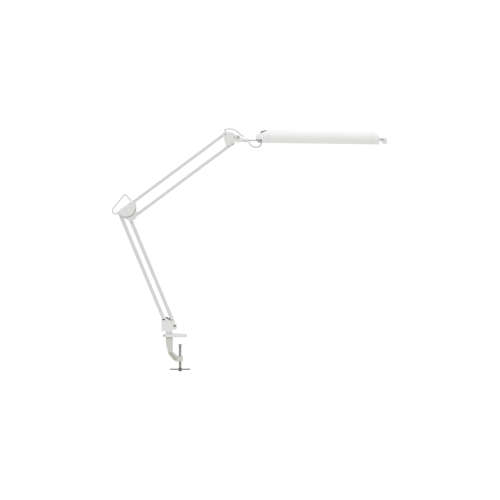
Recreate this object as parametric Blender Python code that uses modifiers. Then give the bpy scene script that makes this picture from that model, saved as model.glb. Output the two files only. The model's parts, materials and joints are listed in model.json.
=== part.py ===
"""A white swing-arm desk lamp: a screw clamp, two parallelogram arms and a long fluorescent head.

Metres, +Z up.  The arms lie in the XZ plane and the head points along +X.
The origin is on the underside of the upper jaw, on the clamp screw's axis.
"""

import math

import bmesh
import bpy
from mathutils import Matrix, Vector
from mathutils.geometry import convex_hull_2d

# ------------------------------------------------------------------ fits
GAP = 0.0003                 # between pieces that touch
RUN = 0.0005                 # between pieces that turn or slide on each other

# ------------------------------------------------------------------ clamp
JAW_WIDTH = 0.040
JAW_BACK = -0.0495
JAW_FRONT = 0.0245
JAW_TOP = 0.0130
PAD_THICKNESS = 0.0020
PAD_PROUD = 0.0008
FRAME_WIDTH = 0.030
FRAME_POCKET_DEPTH = 0.0045
FRAME_BACK = -0.0490
FRAME_THROAT = -0.0252
FRAME_FOOT_TOP = -0.0653
FRAME_FOOT_BOTTOM = -0.0826
FRAME_FOOT_FRONT = 0.0098
FRAME_FOOT_BACK = -0.0142
FRAME_FOOT_STEP = -0.0085
SPINE_BEND = -0.0180
ARM_SHOULDER = (-0.0405, -0.0560)
ARM_HEEL = (-0.0235, -0.0775)
THROAT_CORNER = (-0.0232, -0.0530)
THROAT_BEND = -0.0440
# the hollow in each side of the curved arm: X, Z and corner radius
POCKET_OUTLINE = [
    (-0.0378, -0.0510, 0.002), (-0.0362, -0.0550, 0.006), (-0.0215, -0.0735, 0.006), (-0.0127, -0.0790, 0.003),
    (-0.0117, -0.0690, 0.003), (-0.0250, -0.0562, 0.007), (-0.0288, -0.0510, 0.002)]
JAW_SCREW_RADIUS = 0.0020
JAW_SCREW_HEAD = 0.0036
JAW_SCREW_SPREAD = 0.0112
JAW_SCREW_LENGTH = 0.0180

SCREW_RADIUS = 0.0050
SCREW_TIP_RADIUS = 0.0030
SCREW_BOTTOM = -0.1173
SCREW_HUB_RADIUS = 0.0056
SCREW_HUB_HEIGHT = 0.0106
THREAD_BUSH_RADIUS = 0.0072
THREAD_BUSH_LIP = 0.0084
THREAD_BUSH_FLANGE = 0.0012
FOOT_RADIUS = 0.0056
FOOT_HEIGHT = 0.0070
FOOT_TOP = -0.0238
TOMMY_RADIUS = 0.0023
TOMMY_LENGTH = 0.0690
TOMMY_HEIGHT = -0.1100

# ------------------------------------------------------------------ swivel
SWIVEL_X = -0.0375
JOURNAL_RADIUS = 0.0060
JOURNAL_BOTTOM = -0.0245
BUSH_WALL = 0.0012
BUSH_FLANGE_RADIUS = 0.0115
BUSH_FLANGE = 0.0015
POST_RADIUS = 0.0112
POST_HEIGHT = 0.0050
SPIGOT_RADIUS = 0.0050
SPIGOT_LENGTH = 0.0060
LOCK_HEIGHT = 0.0048
LOCK_HEAD_RADIUS = 0.0048
LOCK_HEAD_LENGTH = 0.0085
LOCK_SHANK_RADIUS = 0.0020

# ------------------------------------------------------------------ arms
LOWER_TUBE = 0.0120
UPPER_TUBE = 0.0105
TUBE_WALL = 0.0012
LOWER_ARM = 0.3940           # pivot to pivot
UPPER_ARM = 0.4190
LOWER_LEAN = -22.4           # degrees about +Y, from straight up
UPPER_LEAN = 53.35
LOWER_SPACING = 0.0432       # between the pivots at either end of the lower pair
LOWER_SLOPE = -30.8          # degrees above +X
UPPER_SPACING = 0.0415
UPPER_SLOPE = -53.35
EYE_WIDTH = LOWER_TUBE + 0.0006
EYE_LENGTH = 0.0160
PLUG_LENGTH = 0.0140
PIVOT_RADIUS = 0.0025
RIVET_HEAD = 0.0042
RIVET_HEAD_HEIGHT = 0.0016

# ------------------------------------------------------------------ base bracket
REAR_PIVOT = (-0.0554, 0.0615)
BRACKET_BACK = -0.0628
BRACKET_LOBE = 0.0080
BRACKET_WALL = 0.0030
BRACKET_FLOOR = 0.0090
BRACKET_FOOT_FRONT = -0.0262
BRACKET_CHIN = 0.0042        # how far the front lobe's underside stands above the foot
INLET_RADIUS = 0.0030
INLET_X = -0.0525

# ------------------------------------------------------------------ elbow
ELBOW_RISE = (0.0232, 0.0173)    # from the rear lower pivot to the top upper pivot
PLATE = 0.0025
PLATE_EDGE = 0.0065          # from the upper arm's line to the plates' flat edge
ELBOW_RIM = 0.0345
ELBOW_FRONT_LOBE = 0.0080
ELBOW_LOW_LOBE = 0.0095
COVER_RADIUS = 0.0316
COVER = 0.0045
SLEEVE_RADIUS = 0.0042
SLEEVE_LENGTH = 0.0040
SLEEVE_STANDOFF = 0.0024     # from the tube's side
SLEEVE_BELOW = 0.0015        # below the rear pivot, along the tube
SLEEVE_DROOP = 16.4

# ------------------------------------------------------------------ upper knuckle
KNUCKLE_TOP_LOBE = 0.0070
KNUCKLE_LOW_LOBE = 0.0073
KNUCKLE_FRONT = 0.0303
HINGE = (0.0435, -0.0117)    # tilt hinge, from the knuckle's top pivot
TONGUE_RADIUS = 0.0080
TONGUE_WIDTH = 0.0110
BOLT_RADIUS = 0.0022
BOLT_HEAD = 0.0040
CHEEK = 0.0025

# ------------------------------------------------------------------ head, from its tilt hinge
HEAD_LEAN = 0.8              # degrees about +Y
ROD_DROP = -0.0095
ROD_RADIUS = 0.0034
SOCKET_RADIUS = 0.0064
SOCKET_START = 0.0095
SOCKET_WEB = 0.0170
SOCKET_END = 0.0235
COLLAR_RADIUS = 0.0070
COLLAR_LENGTH = 0.0104
ROD_END = 0.0750
HEAD_WIDTH = 0.0640
HEAD_BOTTOM = -0.0170
HEAD_TOP = 0.0262
HEAD_SIDE = 0.0100           # straight part of the side wall
HEAD_LEFT = 0.0612
SLOPE_FOOT = 0.0077
SLOPE_END = 0.1014
HEAD_RIGHT_SEAM = 0.4520
HEAD_RIGHT = 0.4785
HEAD_END_RADIUS = 0.0240
SHADE_WALL = 0.0012
CAP_WALL = 0.0022
NOTCH_DEPTH = 0.0215
NOTCH_TOP = -0.0054
BLOCK_START = 0.0670
BLOCK_END = 0.0830
BLOCK_WIDTH = 0.0180
GRIP_END = 0.5059
GRIP_WIDTH = 0.0360
GRIP_WALL = 0.0108           # width of the finger gap
REFLECTOR_SHEET = 0.0008
REFLECTOR_START = 0.1130
REFLECTOR_END = 0.4420
LAMP_RADIUS = 0.0078
LAMP_WALL = 0.0010
LAMP_SPACING = 0.0186
LAMP_HEIGHT = -0.0030
LAMP_BASE_START = 0.1130
LAMP_BASE_LENGTH = 0.0160
LAMP_END = 0.4340
BALLAST_START = 0.1900
BALLAST_LENGTH = 0.1300
BALLAST_WIDTH = 0.0320
BALLAST_BOTTOM = 0.0098
BALLAST_HEIGHT = 0.0098
SWITCH_ALONG = 0.0270        # from the foot of the slope to the switch's middle
BEZEL_LENGTH = 0.0245
BEZEL_WIDTH = 0.0170
BEZEL_PROUD = 0.0012
SWITCH_DEPTH = 0.0095
SWITCH_WALL = 0.0012
ROCKER_WIDTH = 0.0116
ROCKER_AXIS = -0.0010
# the rocker from the side, about its axis: X, Z and corner radius
ROCKER_OUTLINE = [
    (-0.0091, -0.0024, 0.001), (-0.0050, -0.0056, 0.002), (0.0050, -0.0056, 0.002), (0.0091, -0.0024, 0.001),
    (0.0091, 0.0010, 0.0), (0.0085, 0.0040, 0.0006), (0.0, 0.0044, 0.02), (-0.0075, 0.0064, 0.0006),
    (-0.0091, 0.0010, 0.0)]

CABLE_RADIUS = 0.0024
TINY = 0.00001


# ================================================================== scene helpers
for old in list(bpy.data.objects):
    bpy.data.objects.remove(old)

LAMP = bpy.data.collections.new("swing_arm_desk_lamp")
CUTTERS = bpy.data.collections.new("cutters")
bpy.context.scene.collection.children.link(LAMP)
bpy.context.scene.collection.children.link(CUTTERS)


def finish(name, colour, roughness, metallic=0.0):
    """A plain Principled material, made once."""
    if name in bpy.data.materials:
        return bpy.data.materials[name]
    made = bpy.data.materials.new(name)
    made.use_nodes = True
    shader = made.node_tree.nodes["Principled BSDF"]
    shader.inputs["Base Color"].default_value = (*colour, 1.0)
    shader.inputs["Roughness"].default_value = roughness
    shader.inputs["Metallic"].default_value = metallic
    return made


def white_enamel():
    return finish("white_enamel", (0.70, 0.70, 0.69), 0.38)


def clamp_enamel():
    return finish("clamp_enamel", (0.55, 0.55, 0.50), 0.5)


def white_plastic():
    return finish("white_plastic", (0.76, 0.76, 0.75), 0.4)


def grey_plastic():
    return finish("grey_plastic", (0.36, 0.34, 0.35), 0.5)


def dark_steel():
    return finish("dark_steel", (0.16, 0.16, 0.16), 0.4, 1.0)


def bright_steel():
    return finish("bright_steel", (0.55, 0.55, 0.55), 0.3, 1.0)


def rubber():
    return finish("rubber", (0.12, 0.12, 0.12), 0.8)


def cable_sheath():
    return finish("cable_sheath", (0.75, 0.75, 0.74), 0.5)


def reflector_sheet():
    return finish("reflector_sheet", (0.85, 0.85, 0.86), 0.15, 1.0)


def lamp_glass():
    return finish("lamp_glass", (0.90, 0.91, 0.92), 0.2)


def amber_lens():
    return finish("amber_lens", (0.55, 0.10, 0.02), 0.25)


def add(name, mesh, material=None, parent=None):
    """Links a mesh as a named object, as a cutter if it has no material."""
    made = bpy.data.objects.new(name, mesh)
    if material:
        mesh.materials.clear()
        mesh.materials.append(material)
        LAMP.objects.link(made)
    else:
        made.hide_render = True
        made.display_type = "WIRE"
        CUTTERS.objects.link(made)
    made.parent = parent
    return made


def pivot(name, x, z, y=0.0, lean=0.0, parent=None):
    """An empty on a joint's axis, leaning in the XZ plane."""
    made = bpy.data.objects.new(name, None)
    made.location = (x, y, z)
    made.rotation_euler = (0, math.radians(lean), 0)
    made.parent = parent
    LAMP.objects.link(made)
    return made


def mesh_from(bm, smooth=False):
    """Closes a bmesh into a mesh."""
    mesh = bpy.data.meshes.new("mesh")
    bm.to_mesh(mesh)
    bm.free()
    if smooth:
        mesh.shade_smooth()
        mesh.set_sharp_from_angle(angle=math.radians(35))
    return mesh


def ends(name, low, high, material=None, parent=None):
    """A box between two corners."""
    bm = bmesh.new()
    bmesh.ops.create_cube(bm, size=1.0)
    size = Vector(high) - Vector(low)
    middle = (Vector(high) + Vector(low)) / 2
    bmesh.ops.transform(bm, matrix=Matrix.Translation(middle) @ Matrix.Diagonal((*size, 1)), verts=bm.verts)
    return add(name, mesh_from(bm), material, parent)


def from_curve(curve):
    """The mesh of a filled curve, with its caps welded on."""
    holder = bpy.data.objects.new("outline", curve)
    bpy.context.scene.collection.objects.link(holder)
    seen = holder.evaluated_get(bpy.context.evaluated_depsgraph_get())
    bm = bmesh.new()
    bm.from_mesh(bpy.data.meshes.new_from_object(seen))
    bpy.data.objects.remove(holder)
    bpy.data.curves.remove(curve)
    bmesh.ops.remove_doubles(bm, verts=bm.verts, dist=TINY)
    return bm


def circle(x, z, radius, steps=16):
    """Points round a circle, anticlockwise."""
    turn = 2 * math.pi / steps
    return [(x + radius * math.cos(i * turn), z + radius * math.sin(i * turn)) for i in range(steps)]


def hull(*outlines):
    """The tightest outline round several, which a rubber band would take."""
    points = [Vector(p) for outline in outlines for p in outline]
    return [tuple(points[i]) for i in convex_hull_2d(points)]


def rounded(corners, steps=4):
    """An outline whose corners, given as x, z and radius, are arcs."""
    made = []
    for i, (x, z, radius) in enumerate(corners):
        corner = Vector((x, z))
        back = (Vector(corners[i - 1][:2]) - corner).normalized()
        on = (Vector(corners[(i + 1) % len(corners)][:2]) - corner).normalized()
        half = back.angle(on) / 2
        if radius <= 0 or half > math.radians(89):
            made.append((x, z))
            continue
        start = corner + back * radius / math.tan(half)
        middle = corner + (back + on).normalized() * radius / math.sin(half)
        arm = start - middle
        bend = (corner + on * radius / math.tan(half) - middle)
        sweep = math.atan2(arm.cross(bend), arm.dot(bend))
        for step in range(steps + 1):
            turn = Matrix.Rotation(sweep * step / steps, 2)
            made.append(tuple(middle + turn @ arm))
    return made


def slab(name, outline, low, high, material=None, parent=None, holes=(), soften=0.0):
    """A flat outline in XZ, extruded from y = low to y = high, with round holes."""
    curve = bpy.data.curves.new(name, "CURVE")
    curve.dimensions = "2D"
    curve.fill_mode = "BOTH"
    curve.extrude = (high - low) / 2
    for points in (outline, *(circle(*hole) for hole in holes)):
        spline = curve.splines.new("POLY")
        spline.points.add(len(points) - 1)
        for point, (x, z) in zip(spline.points, points):
            point.co = (x, z, 0, 1)
        spline.use_cyclic_u = True
    bm = from_curve(curve)
    stand = Matrix.Translation((0, (low + high) / 2, 0)) @ Matrix.Rotation(math.pi / 2, 4, "X")
    bmesh.ops.transform(bm, matrix=stand, verts=bm.verts)
    bmesh.ops.dissolve_limit(bm, angle_limit=0.001, verts=bm.verts, edges=bm.edges)
    made = add(name, mesh_from(bm), material, parent)
    if soften:
        bevel = made.modifiers.new("soften", "BEVEL")
        bevel.width = soften
        bevel.segments = 1
        bevel.limit_method = "ANGLE"
        bevel.angle_limit = math.radians(60)
    return made


def turned(name, profile, at, along="Z", steps=20, material=None, parent=None, ring=False):
    """A turned piece; the profile's radius and height run down its outer side."""
    edges = [(i, i + 1) for i in range(len(profile) - 1)]
    if ring:
        edges.append((len(profile) - 1, 0))
    mesh = bpy.data.meshes.new(name)
    mesh.from_pydata([(r, 0, h) for r, h in profile], edges, [])
    made = add(name, mesh, material, parent)
    made.location = at
    # the profile's height points along the axis
    made.rotation_euler = {"X": (0, math.pi / 2, 0), "Y": (-math.pi / 2, 0, 0), "Z": (0, 0, 0)}[along]
    turn = made.modifiers.new("turn", "SCREW")
    turn.angle = 2 * math.pi
    turn.steps = steps
    turn.render_steps = steps
    turn.use_merge_vertices = True
    turn.merge_threshold = TINY
    turn.use_smooth_shade = True
    return made


def rod(name, radius, low, high, at, along="Z", steps=20, material=None, parent=None):
    """A plain cylinder between two heights on an axis."""
    profile = [(0, high), (radius, high), (radius, low), (0, low)]
    return turned(name, profile, at, along, steps, material, parent)


def boolean(piece, other, operation="DIFFERENCE"):
    """Cuts, joins or keeps what is shared with another piece."""
    change = piece.modifiers.new(operation.lower(), "BOOLEAN")
    change.object = other
    change.operation = operation
    change.solver = "EXACT"
    return piece


def bored(piece, x, z, radius, parent=None):
    """A hole right through along Y."""
    cutter = rod(f"bore_in_{piece.name}", radius, -0.05, 0.05, (x, 0, z), "Y", parent=parent)
    return boolean(piece, cutter)


def smooth_route(stops, steps=2):
    """Points on a smooth curve through a list of stops."""
    ends_added = [2 * stops[0] - stops[1], *stops, 2 * stops[-1] - stops[-2]]
    route = []
    for a, b, c, d in zip(ends_added, ends_added[1:], ends_added[2:], ends_added[3:]):
        for step in range(steps):
            t = step / steps
            curve = (2 * b + (c - a) * t + (2 * a - 5 * b + 4 * c - d) * t ** 2)
            route.append((curve + (3 * b - a - 3 * c + d) * t ** 3) / 2)
    return [*route, stops[-1]]


def cable(name, stops, material, parent):
    """A round cable along a route in the XZ plane, with closed ends."""
    curve = bpy.data.curves.new(name, "CURVE")
    curve.dimensions = "3D"
    curve.bevel_depth = CABLE_RADIUS
    curve.bevel_resolution = 2
    curve.use_fill_caps = True
    route = smooth_route([Vector((x, 0, z)) for x, z in stops])
    spline = curve.splines.new("POLY")
    spline.points.add(len(route) - 1)
    for point, place in zip(spline.points, route):
        point.co = (*place, 1)
    made = bpy.data.objects.new(name, curve)
    curve.materials.append(material)
    made.parent = parent
    LAMP.objects.link(made)
    return made


def polar(length, degrees):
    """An offset in XZ."""
    return length * math.cos(math.radians(degrees)), length * math.sin(math.radians(degrees))


def shifted(a, b):
    return a[0] + b[0], a[1] + b[1]


def rivet(name, x, z, reach, material, parent):
    """A pivot rivet through a stack of plates, headed on both sides."""
    top = reach + GAP + RIVET_HEAD_HEIGHT
    seat = reach + GAP
    profile = [(0, top), (RIVET_HEAD * 0.7, top), (RIVET_HEAD, top - 0.0007), (RIVET_HEAD, seat)]
    profile += [(PIVOT_RADIUS, seat), (PIVOT_RADIUS, -seat), (RIVET_HEAD, -seat)]
    profile += [(RIVET_HEAD, 0.0007 - top), (RIVET_HEAD * 0.7, -top), (0, -top)]
    turned(name, profile, (x, 0, z), "Y", 16, material, parent)


# ================================================================== sizes that follow
PIVOT_HOLE = PIVOT_RADIUS + GAP
PLATE_IN = EYE_WIDTH / 2 + GAP
PLATE_OUT = PLATE_IN + PLATE
COVER_IN = PLATE_OUT + GAP
COVER_OUT = COVER_IN + COVER
LOWER_OFFSET = polar(LOWER_SPACING, LOWER_SLOPE)
UPPER_OFFSET = polar(UPPER_SPACING, UPPER_SLOPE)
LOWER_RUN = (LOWER_ARM * math.sin(math.radians(LOWER_LEAN)), LOWER_ARM * math.cos(math.radians(LOWER_LEAN)))
UPPER_RUN = (UPPER_ARM * math.sin(math.radians(UPPER_LEAN)), UPPER_ARM * math.cos(math.radians(UPPER_LEAN)))
FRONT_PIVOT = shifted(REAR_PIVOT, LOWER_OFFSET)
BUSH_RADIUS = JOURNAL_RADIUS + GAP + BUSH_WALL
POST_BOTTOM = JAW_TOP + GAP + BUSH_FLANGE + GAP
BRACKET_BOTTOM = POST_BOTTOM + POST_HEIGHT + GAP


# ================================================================== clamp
def make_clamp():
    """The jaw, its pad and the cast frame that carries the screw."""
    clamp = pivot("clamp", 0, 0)
    jaw = slab("upper_jaw", rounded([(JAW_BACK, PAD_PROUD, 0.001), (JAW_FRONT, PAD_PROUD, 0.002),
                                     (JAW_FRONT, JAW_TOP, 0.004), (JAW_BACK, JAW_TOP, 0.002)]),
               -JAW_WIDTH / 2, JAW_WIDTH / 2, white_enamel(), clamp, soften=0.0015)
    seat = PAD_THICKNESS + GAP
    pad_back = FRAME_THROAT + 0.003
    pad_front = JAW_FRONT - 0.004
    pad_side = JAW_WIDTH / 2 - 0.004
    boolean(jaw, ends("pad_recess", (pad_back, -pad_side, -seat), (pad_front, pad_side, seat), parent=clamp))
    boolean(jaw, rod("jaw_bore", BUSH_RADIUS + GAP, -0.01, 0.03, (SWIVEL_X, 0, 0), parent=clamp))
    lock_bore = rod("lock_bore", LOCK_SHANK_RADIUS + GAP, JAW_BACK - 0.01, SWIVEL_X - JOURNAL_RADIUS - 0.0005,
                    (0, 0, LOCK_HEIGHT), "X", 16, parent=clamp)
    boolean(jaw, lock_bore)
    ends("jaw_pad", (pad_back + GAP, GAP - pad_side, 0), (pad_front - GAP, pad_side - GAP, PAD_THICKNESS),
         rubber(), clamp)
    make_frame(clamp, jaw)
    make_bushes(clamp)


def make_frame(clamp, jaw):
    """The C-shaped casting: a tapering spine, a curved arm and a foot for the screw."""
    top = PAD_PROUD - GAP
    outline = rounded([
        (FRAME_BACK, top, 0.0), (FRAME_BACK, SPINE_BEND, 0.03), (*ARM_SHOULDER, 0.012), (*ARM_HEEL, 0.010),
        (FRAME_FOOT_BACK, FRAME_FOOT_BOTTOM, 0.004), (FRAME_FOOT_FRONT, FRAME_FOOT_BOTTOM, 0.0025),
        (FRAME_FOOT_FRONT, FRAME_FOOT_TOP, 0.0025), (FRAME_FOOT_STEP, FRAME_FOOT_TOP, 0.006),
        (*THROAT_CORNER, 0.007), (FRAME_THROAT, THROAT_BEND, 0.006), (FRAME_THROAT, top, 0.0)])
    frame = slab("clamp_frame", outline, -FRAME_WIDTH / 2, FRAME_WIDTH / 2, clamp_enamel(), clamp, soften=0.001)
    pocket = rounded(POCKET_OUTLINE)
    for side in (-1, 1):
        floor = side * (FRAME_WIDTH / 2 - FRAME_POCKET_DEPTH)
        outside = side * FRAME_WIDTH
        name = "pocket_front" if side < 0 else "pocket_back"
        boolean(frame, slab(name, pocket, min(floor, outside), max(floor, outside), parent=clamp))
    bush_hole = BUSH_RADIUS + GAP
    boolean(frame, rod("frame_bore", bush_hole, JOURNAL_BOTTOM - 0.0015, 0.01, (SWIVEL_X, 0, 0), parent=clamp))
    boolean(frame, rod("foot_bore", THREAD_BUSH_RADIUS + GAP, -0.2, 0, (0, 0, 0), parent=clamp))
    boolean(frame, rod("spot_face", THREAD_BUSH_LIP + GAP, FRAME_FOOT_TOP, FRAME_FOOT_TOP + 0.006, (0, 0, 0),
                       parent=clamp))
    # two countersunk screws hold the jaw on the frame
    for side in (-1, 1):
        place = (SWIVEL_X, side * JAW_SCREW_SPREAD, JAW_TOP)
        name = "jaw_screw_front" if side < 0 else "jaw_screw_back"
        head = [(0, -0.0004), (JAW_SCREW_HEAD, -0.0004), (JAW_SCREW_RADIUS, -0.0022)]
        turned(name, [*head, (JAW_SCREW_RADIUS, -JAW_SCREW_LENGTH), (0, -JAW_SCREW_LENGTH)],
               place, steps=16, material=bright_steel(), parent=clamp)
        wide = JAW_SCREW_RADIUS + GAP
        sink = [(0, 0.01), (JAW_SCREW_HEAD + GAP, 0.01), (JAW_SCREW_HEAD + GAP, -0.0006), (wide, -0.0026)]
        hole = turned(f"{name}_hole", [*sink, (wide, -JAW_SCREW_LENGTH - GAP), (0, -JAW_SCREW_LENGTH - GAP)],
                      place, steps=16, parent=clamp)
        boolean(jaw, hole)
        boolean(frame, hole)


def make_bushes(clamp):
    """The plastic bush that the post turns in and the steel bush that the screw runs in."""
    top = JAW_TOP + GAP + BUSH_FLANGE
    inner = JOURNAL_RADIUS + GAP
    under = JAW_TOP + GAP
    profile = [(inner, top), (BUSH_FLANGE_RADIUS, top), (BUSH_FLANGE_RADIUS, under), (BUSH_RADIUS, under),
               (BUSH_RADIUS, JOURNAL_BOTTOM), (inner, JOURNAL_BOTTOM)]
    turned("swivel_bush", profile, (SWIVEL_X, 0, 0), material=grey_plastic(), parent=clamp, ring=True)
    inside = SCREW_RADIUS + GAP
    seat = FRAME_FOOT_TOP + GAP
    bottom = FRAME_FOOT_BOTTOM + GAP
    profile = [(inside, seat + THREAD_BUSH_FLANGE), (THREAD_BUSH_LIP, seat + THREAD_BUSH_FLANGE),
               (THREAD_BUSH_LIP, seat), (THREAD_BUSH_RADIUS, seat), (THREAD_BUSH_RADIUS, bottom), (inside, bottom)]
    turned("thread_bush", profile, (0, 0, 0), material=bright_steel(), parent=clamp, ring=True)


def make_screw():
    """The pressure foot that slides, and the screw with its tommy bar that turns in it."""
    slide = pivot("pressure_slide", 0, FOOT_TOP)
    cup = SCREW_TIP_RADIUS + GAP
    depth = FOOT_HEIGHT - 0.0022
    profile = [(0, 0), (FOOT_RADIUS - 0.001, 0), (FOOT_RADIUS, -0.001), (FOOT_RADIUS, -FOOT_HEIGHT),
               (cup, -FOOT_HEIGHT), (cup, depth - FOOT_HEIGHT), (0, depth - FOOT_HEIGHT)]
    turned("pressure_foot", profile, (0, 0, 0), material=dark_steel(), parent=slide)
    turn = pivot("screw_turn", 0, 0, parent=slide)
    tip = depth - FOOT_HEIGHT - GAP
    neck = -FOOT_HEIGHT - GAP
    bottom = SCREW_BOTTOM - FOOT_TOP
    hub = bottom + SCREW_HUB_HEIGHT
    profile = [(0, tip), (SCREW_TIP_RADIUS, tip), (SCREW_TIP_RADIUS, neck), (SCREW_RADIUS, neck),
               (SCREW_RADIUS, hub), (SCREW_HUB_RADIUS, hub), (SCREW_HUB_RADIUS, bottom + 0.001),
               (SCREW_HUB_RADIUS - 0.001, bottom), (0, bottom)]
    screw = turned("clamp_screw", profile, (0, 0, 0), material=dark_steel(), parent=turn)
    height = TOMMY_HEIGHT - FOOT_TOP
    reach = TOMMY_LENGTH / 2
    boolean(screw, rod("tommy_hole", TOMMY_RADIUS + GAP, -0.02, 0.02, (0, 0, height), "X", 16, parent=turn))
    edge = TOMMY_RADIUS - 0.0006
    profile = [(0, reach), (edge, reach), (TOMMY_RADIUS, reach - 0.0006), (TOMMY_RADIUS, 0.0006 - reach),
               (edge, -reach), (0, -reach)]
    turned("tommy_bar", profile, (0, 0, height), "X", 16, dark_steel(), turn)


def make_lock_screw():
    """The knurled screw that locks the swivel."""
    tip = SWIVEL_X - BUSH_RADIUS - 0.0004
    face = JAW_BACK - 0.0008
    back = face - LOCK_HEAD_LENGTH
    holder = pivot("lock_turn", 0, LOCK_HEIGHT)
    profile = [(0, tip), (LOCK_SHANK_RADIUS, tip), (LOCK_SHANK_RADIUS, face), (LOCK_HEAD_RADIUS, face),
               (LOCK_HEAD_RADIUS, back + 0.0008), (LOCK_HEAD_RADIUS - 0.0008, back), (0, back)]
    turned("lock_screw", profile, (0, 0, 0), "X", 20, bright_steel(), holder)


# ================================================================== swivel and base bracket
def make_swivel():
    """The post that turns in the clamp, and the bracket that holds the lower arm."""
    swivel = pivot("swivel", SWIVEL_X, POST_BOTTOM)
    top = POST_HEIGHT + GAP + SPIGOT_LENGTH
    journal = JOURNAL_BOTTOM - POST_BOTTOM
    profile = [(0, top), (SPIGOT_RADIUS, top), (SPIGOT_RADIUS, POST_HEIGHT), (POST_RADIUS, POST_HEIGHT),
               (POST_RADIUS, 0), (JOURNAL_RADIUS, 0), (JOURNAL_RADIUS, journal), (0, journal)]
    turned("swivel_post", profile, (0, 0, 0), material=white_enamel(), parent=swivel)
    seat = pivot("bracket_seat", -SWIVEL_X, -POST_BOTTOM, parent=swivel)
    make_bracket(seat)
    for name, (x, z) in (("base_rivet_rear", REAR_PIVOT), ("base_rivet_front", FRONT_PIVOT)):
        rivet(name, x, z, PLATE_IN + BRACKET_WALL, rubber(), seat)


def make_bracket(seat):
    """A channel on edge: two walls with lobes round the pivots, and a solid floor."""
    lobe = BRACKET_LOBE
    slope = math.radians(LOWER_SLOPE)
    over = lobe / math.cos(slope)
    front = FRONT_PIVOT[0] + lobe
    chin = BRACKET_BOTTOM + BRACKET_CHIN

    def crest(x):
        return REAR_PIVOT[1] + (x - REAR_PIVOT[0]) * math.tan(slope) + over

    back = min(BRACKET_BACK, REAR_PIVOT[0] - lobe)
    outline = rounded([
        (back, BRACKET_BOTTOM, 0.001), (BRACKET_FOOT_FRONT, BRACKET_BOTTOM, 0.001),
        (BRACKET_FOOT_FRONT + 0.001, chin, 0.001), (front, chin, 0.006),
        (front, crest(front), lobe), (back, crest(back), lobe)])
    holes = [(*REAR_PIVOT, PIVOT_HOLE), (*FRONT_PIVOT, PIVOT_HOLE)]
    outside = PLATE_IN + BRACKET_WALL
    bracket = slab("base_bracket", outline, -outside, outside, white_enamel(), seat, holes, 0.0008)
    floor = BRACKET_BOTTOM + BRACKET_FLOOR
    boolean(bracket, ends("bracket_slot", (back - 0.01, -PLATE_IN, floor), (front + 0.01, PLATE_IN, 0.12),
                          parent=seat))
    boolean(bracket, rod("spigot_hole", SPIGOT_RADIUS + GAP, 0, BRACKET_BOTTOM + SPIGOT_LENGTH + GAP,
                         (SWIVEL_X, 0, 0), parent=seat))
    # the mains lead would enter through a grommet in the back wall
    height = BRACKET_BOTTOM + BRACKET_FLOOR / 2
    start = outside - 0.0035
    boolean(bracket, rod("inlet_hole", INLET_RADIUS + GAP, start - GAP, outside + 0.01,
                         (INLET_X, 0, height), "Y", 16, parent=seat))
    lip = INLET_RADIUS + 0.0012
    rise = outside + GAP
    bore = INLET_RADIUS - 0.0014
    profile = [(bore, rise + 0.001), (lip, rise + 0.001), (lip, rise), (INLET_RADIUS, rise),
               (INLET_RADIUS, start), (bore, start)]
    turned("inlet_grommet", profile, (INLET_X, 0, height), "Y", 16, rubber(), seat, True)


# ================================================================== arms
def make_eye(name, holder, size, far, top):
    """An end fitting: an eye round a pivot, with a plug that fills the tube's end."""
    way = -1 if top else 1
    radius = size / 2
    square = [(x, far + way * EYE_LENGTH) for x in (-radius, radius)]
    outline = hull(circle(0, far, radius), square)
    eye = slab(name, outline, -EYE_WIDTH / 2, EYE_WIDTH / 2, white_plastic(), holder, [(0, far, PIVOT_HOLE)])
    plug = radius - TUBE_WALL - GAP
    deep = sorted((far + way * (EYE_LENGTH - 0.002), far + way * (EYE_LENGTH + PLUG_LENGTH)))
    boolean(eye, ends(f"{name}_plug", (-plug, -plug, deep[0]), (plug, plug, deep[1]), parent=holder), "UNION")
    return eye


def make_arm(name, start, lean, length, size):
    """One arm tube with a fitting at each end; Z runs along the arm from its lower pivot."""
    holder = pivot(name, *start, lean=lean)
    low = EYE_LENGTH + GAP
    high = length - EYE_LENGTH - GAP
    half = size / 2
    tube = ends(f"{name}_tube", (-half, -half, low), (half, half, high), white_enamel(), holder)
    bevel = tube.modifiers.new("corners", "BEVEL")
    bevel.width = 0.0012
    bevel.segments = 2
    bevel.limit_method = "ANGLE"
    inner = half - TUBE_WALL
    boolean(tube, ends(f"{name}_bore", (-inner, -inner, low - 0.01), (inner, inner, high + 0.01), parent=holder))
    make_eye(f"{name}_lower_eye", holder, size, 0, False)
    make_eye(f"{name}_upper_eye", holder, size, length, True)
    return holder


def make_lower_arms():
    """The rear and front tubes of the lower pair, and the sleeve where the cable leaves the rear one."""
    rear = make_arm("lower_rear", REAR_PIVOT, LOWER_LEAN, LOWER_ARM, LOWER_TUBE)
    make_arm("lower_front", FRONT_PIVOT, LOWER_LEAN, LOWER_ARM, LOWER_TUBE)
    profile = [(0, 0), (SLEEVE_RADIUS, 0), (SLEEVE_RADIUS, -SLEEVE_LENGTH), (0, -SLEEVE_LENGTH)]
    start = LOWER_TUBE / 2 + SLEEVE_STANDOFF
    sleeve = turned("cable_sleeve", profile, (-start, 0, LOWER_ARM - SLEEVE_BELOW), "X", 16, white_plastic(), rear)
    sleeve.rotation_euler = (0, math.radians(90 + SLEEVE_DROOP), 0)


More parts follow.
